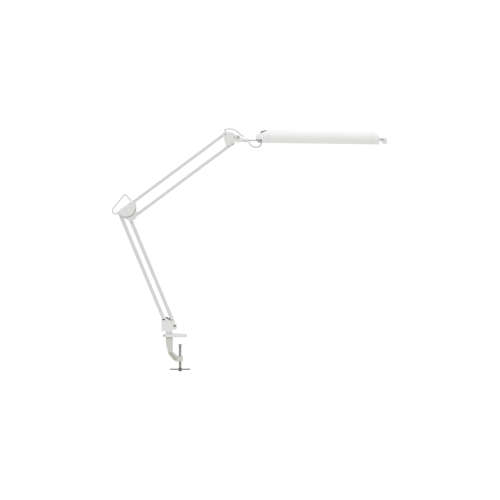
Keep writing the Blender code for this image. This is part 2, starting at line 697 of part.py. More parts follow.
def make_upper_arms(elbow_at):
    """The top and bottom tubes of the upper pair, and the grommet where the cable enters."""
    start = shifted(elbow_at, ELBOW_RISE)
    top = make_arm("upper_top", start, UPPER_LEAN, UPPER_ARM, UPPER_TUBE)
    make_arm("upper_bottom", shifted(start, UPPER_OFFSET), UPPER_LEAN, UPPER_ARM, UPPER_TUBE)
    face = UPPER_TUBE / 2 + GAP
    profile = [(CABLE_RADIUS + 0.0012, 0.0012), (CABLE_RADIUS + 0.0012, 0), (0, 0)]
    collar = turned("cable_grommet", [(0, 0.0012), *profile], (-face, 0, 0.0272), "X", 16, white_plastic(), top)
    collar.rotation_euler = (0, -math.pi / 2, 0)


# ================================================================== elbow
def make_elbow(elbow_at):
    """Two plates that hold all four pivots, a half-round cover on each, and the cable's loop."""
    elbow = pivot("elbow", *elbow_at)
    rear = (0.0, 0.0)
    front = LOWER_OFFSET
    top = ELBOW_RISE
    low = shifted(top, UPPER_OFFSET)
    along = Vector(polar(1, 90 - UPPER_LEAN))
    up = Vector((-along.y, along.x))

    def below_edge(points, edge):
        return [p for p in points if (Vector(p) - Vector(top)).dot(up) < edge]

    def half_disc(radius, edge):
        reach = math.sqrt(radius ** 2 - edge ** 2)
        corners = [tuple(Vector(top) + up * edge + along * side * reach) for side in (-1, 1)]
        return hull(below_edge(circle(*top, radius, 40), edge), corners)

    plate = hull(circle(*rear, PLATE_EDGE), circle(*front, ELBOW_FRONT_LOBE), circle(*low, ELBOW_LOW_LOBE),
                 half_disc(ELBOW_RIM, PLATE_EDGE))
    pivots = [(*rear, PIVOT_HOLE), (*front, PIVOT_HOLE), (*top, PIVOT_HOLE), (*low, PIVOT_HOLE)]
    cover = half_disc(COVER_RADIUS, PLATE_EDGE - 0.0004)
    for side, word in ((-1, "front"), (1, "back")):
        reach = sorted((side * PLATE_IN, side * PLATE_OUT))
        slab(f"elbow_plate_{word}", plate, *reach, white_enamel(), elbow, pivots)
        reach = sorted((side * COVER_IN, side * COVER_OUT))
        slab(f"elbow_cover_{word}", cover, *reach, white_plastic(), elbow, [pivots[2]], 0.0008)
    # the rear pin is flush with the plates and the covers hide it
    rod("elbow_pin_rear", PIVOT_RADIUS, -PLATE_OUT, PLATE_OUT, (rear[0], 0, rear[1]), "Y", 16, bright_steel(), elbow)
    rivet("elbow_rivet_top", *top, COVER_OUT, white_enamel(), elbow)
    rivet("elbow_rivet_front", *front, PLATE_OUT, white_enamel(), elbow)
    rivet("elbow_rivet_low", *low, PLATE_OUT, white_enamel(), elbow)
    stops = [(-0.0117, -0.0050), (-0.0158, -0.0048), (-0.0205, -0.0016), (-0.0238, 0.0045), (-0.0226, 0.0115),
             (-0.0180, 0.0185), (-0.0095, 0.0285), (0.0000, 0.0395), (0.0085, 0.0505), (0.0133, 0.0570),
             (0.0185, 0.0606), (0.0240, 0.0580), (0.0300, 0.0515), (0.0365, 0.0440), (0.0403, 0.0397)]
    cable("elbow_cable", stops, cable_sheath(), elbow)


# ================================================================== upper knuckle
def make_knuckle(knuckle_at):
    """A forked casting on the upper arm's two pivots, with a tongue for the head's hinge."""
    knuckle = pivot("knuckle", *knuckle_at)
    low = UPPER_OFFSET
    outline = hull(circle(0, 0, KNUCKLE_TOP_LOBE), circle(*low, KNUCKLE_LOW_LOBE),
                   circle(KNUCKLE_FRONT - 0.004, 0.001, 0.004), circle(0.0048, low[1] - 0.0025, 0.004))
    body = slab("knuckle_body", outline, -PLATE_OUT, PLATE_OUT, white_enamel(), knuckle,
                [(0, 0, PIVOT_HOLE), (*low, PIVOT_HOLE)], 0.0008)
    clear = UPPER_TUBE / 2 + RUN
    slot = [(-0.03, 0.02), (clear + 0.0018, 0.02), (clear + 0.0018, -0.0120),
            (low[0] + 0.0085, low[1] + clear + 0.0010), (low[0] + 0.03, low[1] + clear + 0.0010),
            (low[0] + 0.03, -0.07), (-0.03, -0.07)]
    boolean(body, slab("knuckle_slot", slot, -PLATE_IN, PLATE_IN, parent=knuckle))
    root = KNUCKLE_FRONT - 0.012
    bar = [(root, HINGE[1] - 0.0065), (root, HINGE[1] + 0.0072)]
    tongue = slab("tongue_shape", hull(circle(*HINGE, TONGUE_RADIUS), bar), -TONGUE_WIDTH / 2, TONGUE_WIDTH / 2,
                  parent=knuckle)
    boolean(body, tongue, "UNION")
    bored(body, *HINGE, BOLT_RADIUS + GAP, knuckle)
    rivet("knuckle_rivet_top", 0, 0, PLATE_OUT, bright_steel(), knuckle)
    rivet("knuckle_rivet_low", *low, PLATE_OUT, bright_steel(), knuckle)
    stops = [(-0.0028, 0.0074), (-0.0030, 0.0110), (0.0004, 0.0148), (0.0080, 0.0163), (0.0170, 0.0165),
             (0.0260, 0.0155), (0.0340, 0.0122), (0.0415, 0.0068), (0.0475, 0.0024), (0.0530, -0.0024),
             (0.0578, -0.0062), (0.0610, -0.0093), (0.0632, -0.0117)]
    cable("knuckle_cable", stops, cable_sheath(), knuckle)


# ================================================================== head bracket
def make_head_bracket(hinge_at):
    """A fork on the tilt hinge whose socket holds the head's rod."""
    tilt = pivot("tilt", *hinge_at, lean=HEAD_LEAN)
    inside = PLATE_OUT + RUN
    outside = inside + CHEEK
    outline = rounded([(-0.0105, -0.0170, 0.003), (SOCKET_WEB, ROD_DROP - SOCKET_RADIUS - 0.0005, 0.002),
                       (SOCKET_WEB, ROD_DROP + SOCKET_RADIUS, 0.002), (0.0095, ROD_DROP + SOCKET_RADIUS + 0.001, 0.004),
                       (0.0050, 0.0080, 0.004), (-0.0105, 0.0080, 0.004)])
    bracket = slab("head_bracket", outline, -outside, outside, white_enamel(), tilt,
                   [(0, 0, BOLT_RADIUS + GAP)], 0.0008)
    boolean(bracket, ends("fork_slot", (-0.03, -inside, -0.03), (SOCKET_START, inside, 0.03), parent=tilt))
    boolean(bracket, rod("socket_shape", SOCKET_RADIUS, SOCKET_WEB - 0.004, SOCKET_END, (0, 0, ROD_DROP), "X",
                         parent=tilt), "UNION")
    boolean(bracket, rod("socket_bore", ROD_RADIUS + GAP, SOCKET_START + 0.003, SOCKET_END + 0.01,
                         (0, 0, ROD_DROP), "X", parent=tilt))
    seat = outside + GAP
    top = seat + 0.0022
    profile = [(0, top), (BOLT_HEAD - 0.0006, top), (BOLT_HEAD, top - 0.0006), (BOLT_HEAD, seat), (BOLT_RADIUS, seat),
               (BOLT_RADIUS, -seat), (BOLT_HEAD, -seat), (BOLT_HEAD, 0.0006 - top), (BOLT_HEAD - 0.0006, -top), (0, -top)]
    turned("tilt_bolt", profile, (0, 0, 0), "Y", 16, bright_steel(), tilt)
    return tilt


# ================================================================== head
def arch(inset, steps=14):
    """The head's section in Y and Z: straight sides and a domed top, inset by a wall."""
    half = HEAD_WIDTH / 2 - inset
    spring = HEAD_BOTTOM + HEAD_SIDE
    rise = HEAD_TOP - inset - spring
    points = []
    for step in range(2 * steps + 1):
        turn = math.pi * step / (2 * steps)
        across = math.copysign(abs(math.cos(turn)) ** (2 / 2.3), math.cos(turn))
        points.append((half * across, spring + rise * math.sin(turn) ** (2 / 2.3)))
    return [(half, HEAD_BOTTOM), *points, (-half, HEAD_BOTTOM)]


def arch_bar(name, inset, low, high, drop=0.0, material=None, parent=None):
    """A solid bar with the head's section, along X."""
    outline = arch(inset)
    if drop:
        outline = [(outline[0][0], HEAD_BOTTOM + drop), *outline[1:-1], (outline[-1][0], HEAD_BOTTOM + drop)]
    made = slab(name, outline, -high, -low, material, parent)
    made.data.transform(Matrix.Rotation(math.pi / 2, 4, "Z"))
    return made


def side_prism(name, outline, parent):
    """A side outline, wide enough to trim a bar of the head's section."""
    return slab(name, outline, -0.05, 0.05, parent=parent)


def make_shade(head):
    """The open-bottomed middle of the head, folded from sheet."""
    section = arch(0)
    bm = bmesh.new()
    row = [bm.verts.new((SLOPE_END + GAP, y, z)) for y, z in section]
    edges = [bm.edges.new(pair) for pair in zip(row, row[1:])]
    grown = bmesh.ops.extrude_edge_only(bm, edges=edges)["geom"]
    moved = [v for v in grown if isinstance(v, bmesh.types.BMVert)]
    bmesh.ops.translate(bm, verts=moved, vec=(HEAD_RIGHT_SEAM - SLOPE_END - 2 * GAP, 0, 0))
    bmesh.ops.recalc_face_normals(bm, faces=bm.faces)
    shade = add("shade_shell", mesh_from(bm, True), white_enamel(), head)
    outwards(shade, (0.3, 0, 0))
    wall = shade.modifiers.new("wall", "SOLIDIFY")
    wall.thickness = SHADE_WALL
    wall.offset = -1.0


def outwards(piece, core):
    """Turns an open shell's faces away from a point on its axis."""
    bm = bmesh.new()
    bm.from_mesh(piece.data)
    for face in bm.faces:
        away = face.calc_center_median() - Vector(core)
        away.x = 0
        if face.normal.dot(away) < 0:
            face.normal_flip()
    bm.to_mesh(piece.data)
    bm.free()


def make_left_cap(head):
    """The wedge at the hinge end: a sloping face for the switch and a notch for the swivel block."""
    notch = HEAD_LEFT + NOTCH_DEPTH
    outline = rounded([
        (HEAD_LEFT, NOTCH_TOP, 0.0015), (notch, NOTCH_TOP, 0.001), (notch, HEAD_BOTTOM, 0.001),
        (SLOPE_END, HEAD_BOTTOM, 0.0), (SLOPE_END, HEAD_TOP, 0.0),
        (HEAD_LEFT, SLOPE_FOOT, 0.003)])
    wall = CAP_WALL
    bank = wall / math.cos(math.atan2(HEAD_TOP - SLOPE_FOOT, SLOPE_END - HEAD_LEFT))
    inner = [
        (HEAD_LEFT + wall, NOTCH_TOP + wall), (notch + wall, NOTCH_TOP + wall), (notch + wall, HEAD_BOTTOM - 0.01),
        (SLOPE_END + 0.01, HEAD_BOTTOM - 0.01), (SLOPE_END + 0.01, HEAD_TOP - bank),
        (SLOPE_END, HEAD_TOP - bank), (HEAD_LEFT + wall, SLOPE_FOOT - bank + wall * 0.5)]
    cap = arch_bar("left_end_cap", 0, HEAD_LEFT - 0.01, SLOPE_END, 0, white_plastic(), head)
    boolean(cap, side_prism("left_cap_side", outline, head), "INTERSECT")
    hollow = arch_bar("left_cap_hollow", wall, HEAD_LEFT - 0.01, SLOPE_END + 0.02, -0.02, parent=head)
    boolean(hollow, side_prism("left_hollow_side", inner, head), "INTERSECT")
    boolean(cap, hollow)
    return cap


def make_right_cap(head):
    """The rounded far end of the head."""
    outline = rounded([
        (HEAD_RIGHT_SEAM, HEAD_BOTTOM, 0.0), (HEAD_RIGHT, HEAD_BOTTOM, 0.002),
        (HEAD_RIGHT, HEAD_TOP, HEAD_END_RADIUS), (HEAD_RIGHT_SEAM, HEAD_TOP, 0.0)], 7)
    wall = CAP_WALL
    inner = rounded([
        (HEAD_RIGHT_SEAM - 0.01, HEAD_BOTTOM - 0.01, 0.0), (HEAD_RIGHT - wall, HEAD_BOTTOM - 0.01, 0.0),
        (HEAD_RIGHT - wall, HEAD_TOP - wall, HEAD_END_RADIUS - wall), (HEAD_RIGHT_SEAM - 0.01, HEAD_TOP - wall, 0.0)])
    cap = arch_bar("right_end_cap", 0, HEAD_RIGHT_SEAM, HEAD_RIGHT + 0.01, 0, white_plastic(), head)
    boolean(cap, side_prism("right_cap_side", outline, head), "INTERSECT")
    hollow = arch_bar("right_cap_hollow", wall, HEAD_RIGHT_SEAM - 0.02, HEAD_RIGHT + 0.01, -0.02, parent=head)
    boolean(hollow, side_prism("right_hollow_side", inner, head), "INTERSECT")
    boolean(cap, hollow)


def make_grip(head):
    """The moulded finger grip: a flat neck and a downturned lip with a gap behind it."""
    start = HEAD_RIGHT + GAP
    gap_end = start + GRIP_WALL
    outline = rounded([
        (start, -0.0060, 0.0), (gap_end, -0.0066, 0.003), (gap_end + 0.001, -0.0148, 0.0015),
        (GRIP_END - 0.003, -0.0148, 0.003), (GRIP_END, -0.0110, 0.004), (GRIP_END, 0.0000, 0.006),
        (GRIP_END - 0.006, 0.0056, 0.005), (start, 0.0056, 0.001)])
    slab("finger_grip", outline, -GRIP_WIDTH / 2, GRIP_WIDTH / 2, white_plastic(), head, soften=0.0012)


def make_rod(head):
    """The rod on which the head turns, its collar and the block that holds it."""
    bore = ROD_RADIUS + GAP
    rod("head_rod", ROD_RADIUS, SOCKET_START + 0.0035, ROD_END, (0, 0, ROD_DROP), "X", 20, bright_steel(), head)
    start = SOCKET_END + GAP
    end = start + COLLAR_LENGTH
    profile = [(bore, end), (COLLAR_RADIUS - 0.001, end), (COLLAR_RADIUS, end - 0.001), (COLLAR_RADIUS, start),
               (bore, start)]
    turned("rod_collar", profile, (0, 0, ROD_DROP), "X", 20, white_enamel(), head, True)
    half = BLOCK_WIDTH / 2
    block = slab("swivel_block", rounded([
        (BLOCK_START, HEAD_BOTTOM - GAP, 0.002), (BLOCK_END - 0.001, HEAD_BOTTOM - GAP, 0.0),
        (BLOCK_END - 0.001, NOTCH_TOP - GAP, 0.0), (BLOCK_START, NOTCH_TOP - GAP, 0.002)]),
        -half, half, grey_plastic(), head, soften=0.0006)
    boolean(block, rod("block_bore", bore, BLOCK_START - 0.01, ROD_END + GAP, (0, 0, ROD_DROP), "X", 20, parent=head))
    stops = [(0.0368, -0.0156), (0.0395, -0.0198), (0.0438, -0.0262), (0.0490, -0.0303), (0.0565, -0.0325),
             (0.0640, -0.0330), (0.0715, -0.0310), (0.0765, -0.0276), (0.0786, -0.0240), (0.0788, -0.0208),
             (0.0788, -0.0176)]
    cable("head_cable", stops, cable_sheath(), head)


def make_light(head):
    """The reflector, the twin-tube lamp in its holder, and the ballast above."""
    half = HEAD_WIDTH / 2
    section = [(half - 0.003, -0.0140), (half - 0.0045, -0.0060), (half - 0.0065, 0.0005), (half - 0.012, 0.0050),
               (0.0130, 0.0080)]
    section += [(-y, z) for y, z in reversed(section)]
    bm = bmesh.new()
    row = [bm.verts.new((REFLECTOR_START, y, z)) for y, z in section]
    edges = [bm.edges.new(pair) for pair in zip(row, row[1:])]
    grown = bmesh.ops.extrude_edge_only(bm, edges=edges)["geom"]
    moved = [v for v in grown if isinstance(v, bmesh.types.BMVert)]
    bmesh.ops.translate(bm, verts=moved, vec=(REFLECTOR_END - REFLECTOR_START, 0, 0))
    reflector = add("reflector", mesh_from(bm, True), reflector_sheet(), head)
    outwards(reflector, (0.3, 0, -0.02))
    wall = reflector.modifiers.new("wall", "SOLIDIFY")
    wall.thickness = REFLECTOR_SHEET
    wall.offset = -1.0
    make_lamp(head)
    slab("ballast", rounded([
        (BALLAST_START, BALLAST_BOTTOM, 0.0), (BALLAST_START + BALLAST_LENGTH, BALLAST_BOTTOM, 0.0),
        (BALLAST_START + BALLAST_LENGTH, BALLAST_BOTTOM + BALLAST_HEIGHT, 0.0015),
        (BALLAST_START, BALLAST_BOTTOM + BALLAST_HEIGHT, 0.0015)], 2),
        -BALLAST_WIDTH / 2, BALLAST_WIDTH / 2, bright_steel(), head)


def make_lamp(head):
    """Two straight tubes joined by a bend, in a plastic base and a holder."""
    side = LAMP_SPACING / 2
    start = LAMP_BASE_START + LAMP_BASE_LENGTH + GAP
    bend = LAMP_END - LAMP_RADIUS - side
    curve = bpy.data.curves.new("lamp_tube", "CURVE")
    curve.dimensions = "3D"
    curve.bevel_depth = LAMP_RADIUS
    curve.bevel_resolution = 4
    route = [(start, -side)]
    route += [(bend + side * math.sin(i * math.pi / 10), -side * math.cos(i * math.pi / 10)) for i in range(11)]
    route += [(start, side)]
    spline = curve.splines.new("POLY")
    spline.points.add(len(route) - 1)
    for point, (x, y) in zip(spline.points, route):
        point.co = (x, y, LAMP_HEIGHT, 1)
    tube = bpy.data.objects.new("lamp_tube", curve)
    curve.materials.append(lamp_glass())
    tube.parent = head
    LAMP.objects.link(tube)
    wall = tube.modifiers.new("wall", "SOLIDIFY")
    wall.thickness = LAMP_WALL
    wall.offset = -1.0
    top = LAMP_HEIGHT + 0.0060
    bottom = LAMP_HEIGHT - 0.0086
    wide = side + LAMP_RADIUS + 0.0004
    ends("lamp_base", (LAMP_BASE_START, -wide, bottom), (LAMP_BASE_START + LAMP_BASE_LENGTH, wide, top),
         white_plastic(), head)
    ends("lamp_holder", (SLOPE_END + 0.003, -wide - 0.001, bottom - 0.001),
                  (LAMP_BASE_START - GAP, wide + 0.001, top + 0.001), white_plastic(), head)


def make_switch(head, cap):
    """The rocker switch on the sloping face; X runs up the slope and Z out of it."""
    bank = math.atan2(HEAD_TOP - SLOPE_FOOT, SLOPE_END - HEAD_LEFT)
    x = HEAD_LEFT + SWITCH_ALONG * math.cos(bank)
    z = SLOPE_FOOT + SWITCH_ALONG * math.sin(bank)
    seat = pivot("switch_seat", x, z, lean=-math.degrees(bank), parent=head)
    body = (BEZEL_LENGTH / 2 - 0.0016, BEZEL_WIDTH / 2 - 0.0016)
    boolean(cap, ends("switch_cutout", (-body[0] - GAP, -body[1] - GAP, -0.02), (body[0] + GAP, body[1] + GAP, 0.02),
                      parent=seat))
    half = (BEZEL_LENGTH / 2, BEZEL_WIDTH / 2)
    bezel = rounded([(-half[0], GAP, 0.0), (half[0], GAP, 0.0), (half[0], BEZEL_PROUD, 0.0006),
                     (-half[0], BEZEL_PROUD, 0.0006)], 2)
    housing = slab("switch_housing", bezel, -half[1], half[1], grey_plastic(), seat)
    boolean(housing, ends("switch_body", (-body[0], -body[1], -SWITCH_DEPTH), (body[0], body[1], 0.0006), parent=seat),
            "UNION")
    well = (body[0] - SWITCH_WALL, ROCKER_WIDTH / 2 + RUN)
    boolean(housing, ends("switch_well", (-well[0], -well[1], 0.0016 - SWITCH_DEPTH), (well[0], well[1], 0.02),
                          parent=seat))
    axis = pivot("rocker_axis", 0, ROCKER_AXIS, parent=seat)
    rocker = rounded(ROCKER_OUTLINE)
    slab("rocker", rocker, -ROCKER_WIDTH / 2, ROCKER_WIDTH / 2, amber_lens(), axis, soften=0.0005)


# ================================================================== whole lamp
def make_lamp_stand():
    """Everything, from the clamp up."""
    make_clamp()
    make_screw()
    make_lock_screw()
    make_swivel()
    make_lower_arms()
    elbow_at = shifted(REAR_PIVOT, LOWER_RUN)
    make_elbow(elbow_at)
    make_upper_arms(elbow_at)
    knuckle_at = shifted(shifted(elbow_at, ELBOW_RISE), UPPER_RUN)
    make_knuckle(knuckle_at)
    hinge_at = shifted(knuckle_at, HINGE)
    make_head_bracket(hinge_at)
    head = pivot("head", *hinge_at, lean=HEAD_LEAN)
    make_rod(head)
    make_shade(head)
    cap = make_left_cap(head)
    make_right_cap(head)
    make_grip(head)
    make_light(head)
    make_switch(head, cap)


make_lamp_stand()
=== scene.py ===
import json
import math

import bmesh
import bpy
from mathutils import Matrix, Vector


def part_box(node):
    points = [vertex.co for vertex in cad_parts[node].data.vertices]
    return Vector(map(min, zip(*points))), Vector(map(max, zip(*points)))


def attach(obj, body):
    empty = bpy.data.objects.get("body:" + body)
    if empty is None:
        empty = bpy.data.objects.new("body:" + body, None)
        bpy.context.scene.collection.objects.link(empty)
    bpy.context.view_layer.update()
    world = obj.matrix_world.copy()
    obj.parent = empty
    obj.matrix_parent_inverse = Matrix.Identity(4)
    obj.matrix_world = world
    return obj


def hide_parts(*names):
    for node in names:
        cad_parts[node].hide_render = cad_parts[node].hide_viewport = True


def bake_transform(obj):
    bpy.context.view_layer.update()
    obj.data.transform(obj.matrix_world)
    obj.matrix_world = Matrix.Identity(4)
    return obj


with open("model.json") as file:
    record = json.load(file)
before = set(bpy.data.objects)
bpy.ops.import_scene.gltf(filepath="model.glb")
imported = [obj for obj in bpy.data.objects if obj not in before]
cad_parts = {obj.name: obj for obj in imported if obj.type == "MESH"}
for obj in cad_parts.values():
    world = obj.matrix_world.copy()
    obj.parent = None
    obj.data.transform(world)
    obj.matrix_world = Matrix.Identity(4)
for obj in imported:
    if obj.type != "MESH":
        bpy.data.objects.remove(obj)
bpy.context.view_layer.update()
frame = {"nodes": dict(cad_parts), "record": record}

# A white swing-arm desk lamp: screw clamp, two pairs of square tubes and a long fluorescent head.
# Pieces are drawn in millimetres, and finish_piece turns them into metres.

MM = 0.001
NODES = frame["nodes"]
JOINTS = {joint["name"]: joint for joint in frame["record"]["behaviour"]["joints"]}


def at_joint(name):
    """A joint's place, in millimetres."""
    return Vector(JOINTS[name]["pos_m"]) * 1000


def box_of(node):
    """The low and the high corner of a CAD node, in millimetres."""
    return [Vector(corner) * 1000 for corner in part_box(node)]


# ------------------------------------------------------------------ places, from the frame
BASE_REAR = at_joint("lower_arm_lean")
BASE_FRONT = at_joint("lower_front_lean")
ELBOW_REAR = at_joint("elbow_level")
ELBOW_FRONT = ELBOW_REAR + BASE_FRONT - BASE_REAR
ELBOW_TOP = at_joint("upper_arm_tilt")
ELBOW_LOW = at_joint("upper_bottom_tilt")
KNUCKLE_TOP = at_joint("knuckle_level")
KNUCKLE_LOW = KNUCKLE_TOP + ELBOW_LOW - ELBOW_TOP
HINGE = at_joint("head_tilt")
ROD_AXIS = Vector(JOINTS["head_roll"]["axis"])
HEAD_LEAN = math.atan2(-ROD_AXIS.z, ROD_AXIS.x)
SWIVEL_X = at_joint("base_swivel").x
LOCK_HEIGHT = at_joint("lock_screw_turn").z


def lean_of(low, high):
    """How far a line from low to high leans from straight up, about +Y."""
    return math.atan2(high.x - low.x, high.z - low.z)


def place_at(point, lean=0.0):
    """The frame of a piece that sits at a point and leans about +Y."""
    return Matrix.Translation(point) @ Matrix.Rotation(lean, 4, "Y")


UPPER_LEAN = lean_of(ELBOW_TOP, KNUCKLE_TOP)
HEAD = place_at(HINGE, HEAD_LEAN)
AXIS_X = Matrix.Rotation(math.pi / 2, 4, "Y")
AXIS_Y = Matrix.Rotation(-math.pi / 2, 4, "X")

# ------------------------------------------------------------------ sizes, in millimetres
SCREW_RADIUS = 5.0
THREAD_DEPTH = 0.6
PITCH = 2.0
LOWER_TUBE = 12.0
UPPER_TUBE = 10.5
TUBE_WALL = 1.2
EYE_LENGTH = 16.0
EYE_WIDTH = 12.6
PLATE_OUT = 9.1
COVER_OUT = 13.9
CABLE = 2.4
RIVET = 4.2
HEAD_HALF = 32.0
HEAD_BOTTOM = -17.0
HEAD_TOP = 26.2
HEAD_SIDE = 10.0
ROD_DROP = -9.5
SHADE_START = 101.7
SHADE_END = 451.7
LAMP_RADIUS = 7.8
LAMP_SIDE = 9.3        # from the head's middle to each limb
LAMP_HEIGHT = -3.0
LAMP_BASE = 113.0
LAMP_BASE_END = 129.0
LAMP_END = 434.0
LIMB_START = 129.3
FLUTES = 72


# ================================================================== shaping helpers
def outline_bar(points, low, high):
    """A flat outline in XZ, drawn out from y = low to y = high."""
    bm = bmesh.new()
    face = bm.faces.new([bm.verts.new((x, low, z)) for x, z in points])
    grown = bmesh.ops.extrude_face_region(bm, geom=[face])["geom"]
    moved = [v for v in grown if isinstance(v, bmesh.types.BMVert)]
    bmesh.ops.translate(bm, verts=moved, vec=(0, high - low, 0))
    bmesh.ops.recalc_face_normals(bm, faces=bm.faces)
    return bm


def block(low, high):
    """A box between two corners."""
    bm = bmesh.new()
    bmesh.ops.create_cube(bm, size=1.0)
    size = Vector(high) - Vector(low)
    middle = (Vector(high) + Vector(low)) / 2
    bmesh.ops.transform(bm, matrix=Matrix.Translation(middle) @ Matrix.Diagonal((*size, 1)), verts=bm.verts)
    return bm


def turned(profile, steps=48):
    """A turned shape about Z, from its radii and heights; a profile that ends where it starts is a ring."""
    bm = bmesh.new()
    ring = profile[0] == profile[-1]
    row = [bm.verts.new((r, 0, h)) for r, h in (profile[:-1] if ring else profile)]
    pairs = list(zip(row, row[1:]))
    if ring:
        pairs.append((row[-1], row[0]))
    edges = [bm.edges.new(pair) for pair in pairs]
    bmesh.ops.spin(bm, geom=row + edges, cent=(0, 0, 0), axis=(0, 0, 1), angle=2 * math.pi, steps=steps,
                   use_merge=True)
    bmesh.ops.remove_doubles(bm, verts=bm.verts, dist=0.001)
    bmesh.ops.recalc_face_normals(bm, faces=bm.faces)
    return bm


def soften(bm, width, segments=3, angle=40):
    """Rounds every edge that is sharper than an angle."""
    sharp = [e for e in bm.edges if e.is_manifold and e.calc_face_angle(0) > math.radians(angle)]
    bmesh.ops.bevel(bm, geom=sharp, offset=width, segments=segments, profile=0.5, affect="EDGES",
                    clamp_overlap=True, material=-1)
    return bm


def copy_of(node):
    """A CAD node's own shape with its triangles merged, in millimetres."""
    bm = bmesh.new()
    bm.from_mesh(NODES[node].data)
    bmesh.ops.scale(bm, vec=(1000, 1000, 1000), verts=bm.verts)
    bmesh.ops.remove_doubles(bm, verts=bm.verts, dist=0.003)
    bmesh.ops.dissolve_degenerate(bm, edges=bm.edges, dist=0.003)
    bmesh.ops.dissolve_limit(bm, angle_limit=math.radians(0.5), verts=bm.verts, edges=bm.edges)
    return bm


def moved(bm, matrix):
    """The shape, put in a frame."""
    bmesh.ops.transform(bm, matrix=matrix, verts=bm.verts)
    return bm


def joined(*parts):
    """Several shapes in one piece."""
    whole = parts[0]
    for part in parts[1:]:
        mesh = bpy.data.meshes.new("part")
        part.to_mesh(mesh)
        part.free()
        whole.from_mesh(mesh)
        bpy.data.meshes.remove(mesh)
    return whole


def rounded(corners, steps=8):
    """An outline whose corners, given as x, z and radius, are arcs."""
    made = []
    for i, (x, z, radius) in enumerate(corners):
        corner = Vector((x, z))
        back = (Vector(corners[i - 1][:2]) - corner).normalized()
        on = (Vector(corners[(i + 1) % len(corners)][:2]) - corner).normalized()
        half = back.angle(on) / 2
        if radius <= 0 or half > math.radians(89):
            made.append((x, z))
            continue
        start = corner + back * radius / math.tan(half)
        middle = corner + (back + on).normalized() * radius / math.sin(half)
        arm = start - middle
        bend = corner + on * radius / math.tan(half) - middle
        sweep = math.atan2(arm.cross(bend), arm.dot(bend))
        made += [tuple(middle + Matrix.Rotation(sweep * i / steps, 2) @ arm) for i in range(steps + 1)]
    return made


def ribbed_edge(bm, inner, depth, low, high):
    """Cuts fine flutes into a turned shape, outside a radius and between two heights."""
    for vert in bm.verts:
        radius = math.hypot(vert.co.x, vert.co.y)
        index = round(math.atan2(vert.co.y, vert.co.x) / (2 * math.pi) * FLUTES)
        if radius > inner and low < vert.co.z < high and index % 2:
            vert.co.x *= (radius - depth) / radius
            vert.co.y *= (radius - depth) / radius
    return bm


def finish_piece(name, bm, material, body, *replaced, slot=None, where=None, sharp=35):
    """Turns a drawn shape into a piece of the lamp that rides on one of its bodies."""
    if where is not None:
        bmesh.ops.transform(bm, matrix=where, verts=bm.verts)
    bmesh.ops.scale(bm, vec=(MM, MM, MM), verts=bm.verts)
    mesh = bpy.data.meshes.new(name)
    bm.to_mesh(mesh)
    bm.free()
    mesh.shade_smooth()
    mesh.set_sharp_from_angle(angle=math.radians(sharp))
    mesh.materials.append(material)
    piece = bpy.data.objects.new(name, mesh)
    bpy.context.scene.collection.objects.link(piece)
    even = piece.modifiers.new("even shading", "WEIGHTED_NORMAL")
    even.keep_sharp = True
    if body:
        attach(piece, body)
    if replaced:
        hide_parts(*replaced)
    return piece


# ================================================================== materials
def linear(code):
    """An sRGB hex colour as linear RGBA."""
    parts = [int(code[i:i + 2], 16) / 255 for i in (1, 3, 5)]
    return (*[c / 12.92 if c <= 0.04045 else ((c + 0.055) / 1.055) ** 2.4 for c in parts], 1.0)


def put(tree, kind, values={}, feeds={}, **settings):
    """Adds a node with its settings, its sockets' values and what feeds them."""
    made = tree.nodes.new(kind)
    for name, value in settings.items():
        setattr(made, name, value)
    for socket, value in values.items():
        made.inputs[socket].default_value = value
    for socket, source in feeds.items():
        tree.links.new(source, made.inputs[socket])
    return made


def new_finish(name, **sockets):
    """A material with its shader, and the coordinates that its patterns read."""
    made = bpy.data.materials.new(name)
    made.use_nodes = True
    tree = made.node_tree
    shader = tree.nodes["Principled BSDF"]
    for socket, value in sockets.items():
        shader.inputs[socket.replace("_", " ")].default_value = value
    place = put(tree, "ShaderNodeTexCoord").outputs["Object"]
    return made, tree, shader, place


def colour_by(tree, shader, pattern, one, other):
    """Lets a pattern choose between two colours."""
    tone = put(tree, "ShaderNodeMix", {6: linear(one), 7: linear(other)}, {0: pattern}, data_type="RGBA")
    tree.links.new(tone.outputs[2], shader.inputs["Base Color"])


def gloss_by(tree, shader, pattern, least, most):
    """Lets a pattern vary the roughness."""
    gloss = put(tree, "ShaderNodeMapRange", {"To Min": least, "To Max": most}, {"Value": pattern})
    tree.links.new(gloss.outputs["Result"], shader.inputs["Roughness"])


def bump_by(tree, shader, pattern, strength, distance):
    """Raises a pattern off the surface; the distance is in metres."""
    bump = put(tree, "ShaderNodeBump", {"Strength": strength, "Distance": distance}, {"Height": pattern})
    tree.links.new(bump.outputs["Normal"], shader.inputs["Normal"])


def stove_enamel(name, fresh, worn):
    """White stove enamel on steel: a hard, even satin coat with a faint orange peel and a little yellowing."""
    made, tree, shader, place = new_finish(name, Coat_Weight=0.12, Coat_Roughness=0.2, IOR=1.45)
    cloud = put(tree, "ShaderNodeTexNoise", {"Scale": 14.0, "Detail": 3.0}, {"Vector": place})
    colour_by(tree, shader, cloud.outputs["Fac"], fresh, worn)
    # orange peel is about 1.5 mm from crest to crest
    peel = put(tree, "ShaderNodeTexNoise", {"Scale": 650.0, "Detail": 2.0}, {"Vector": place})
    gloss_by(tree, shader, peel.outputs["Fac"], 0.30, 0.42)
    bump_by(tree, shader, peel.outputs["Fac"], 0.25, 0.00003)
    return made


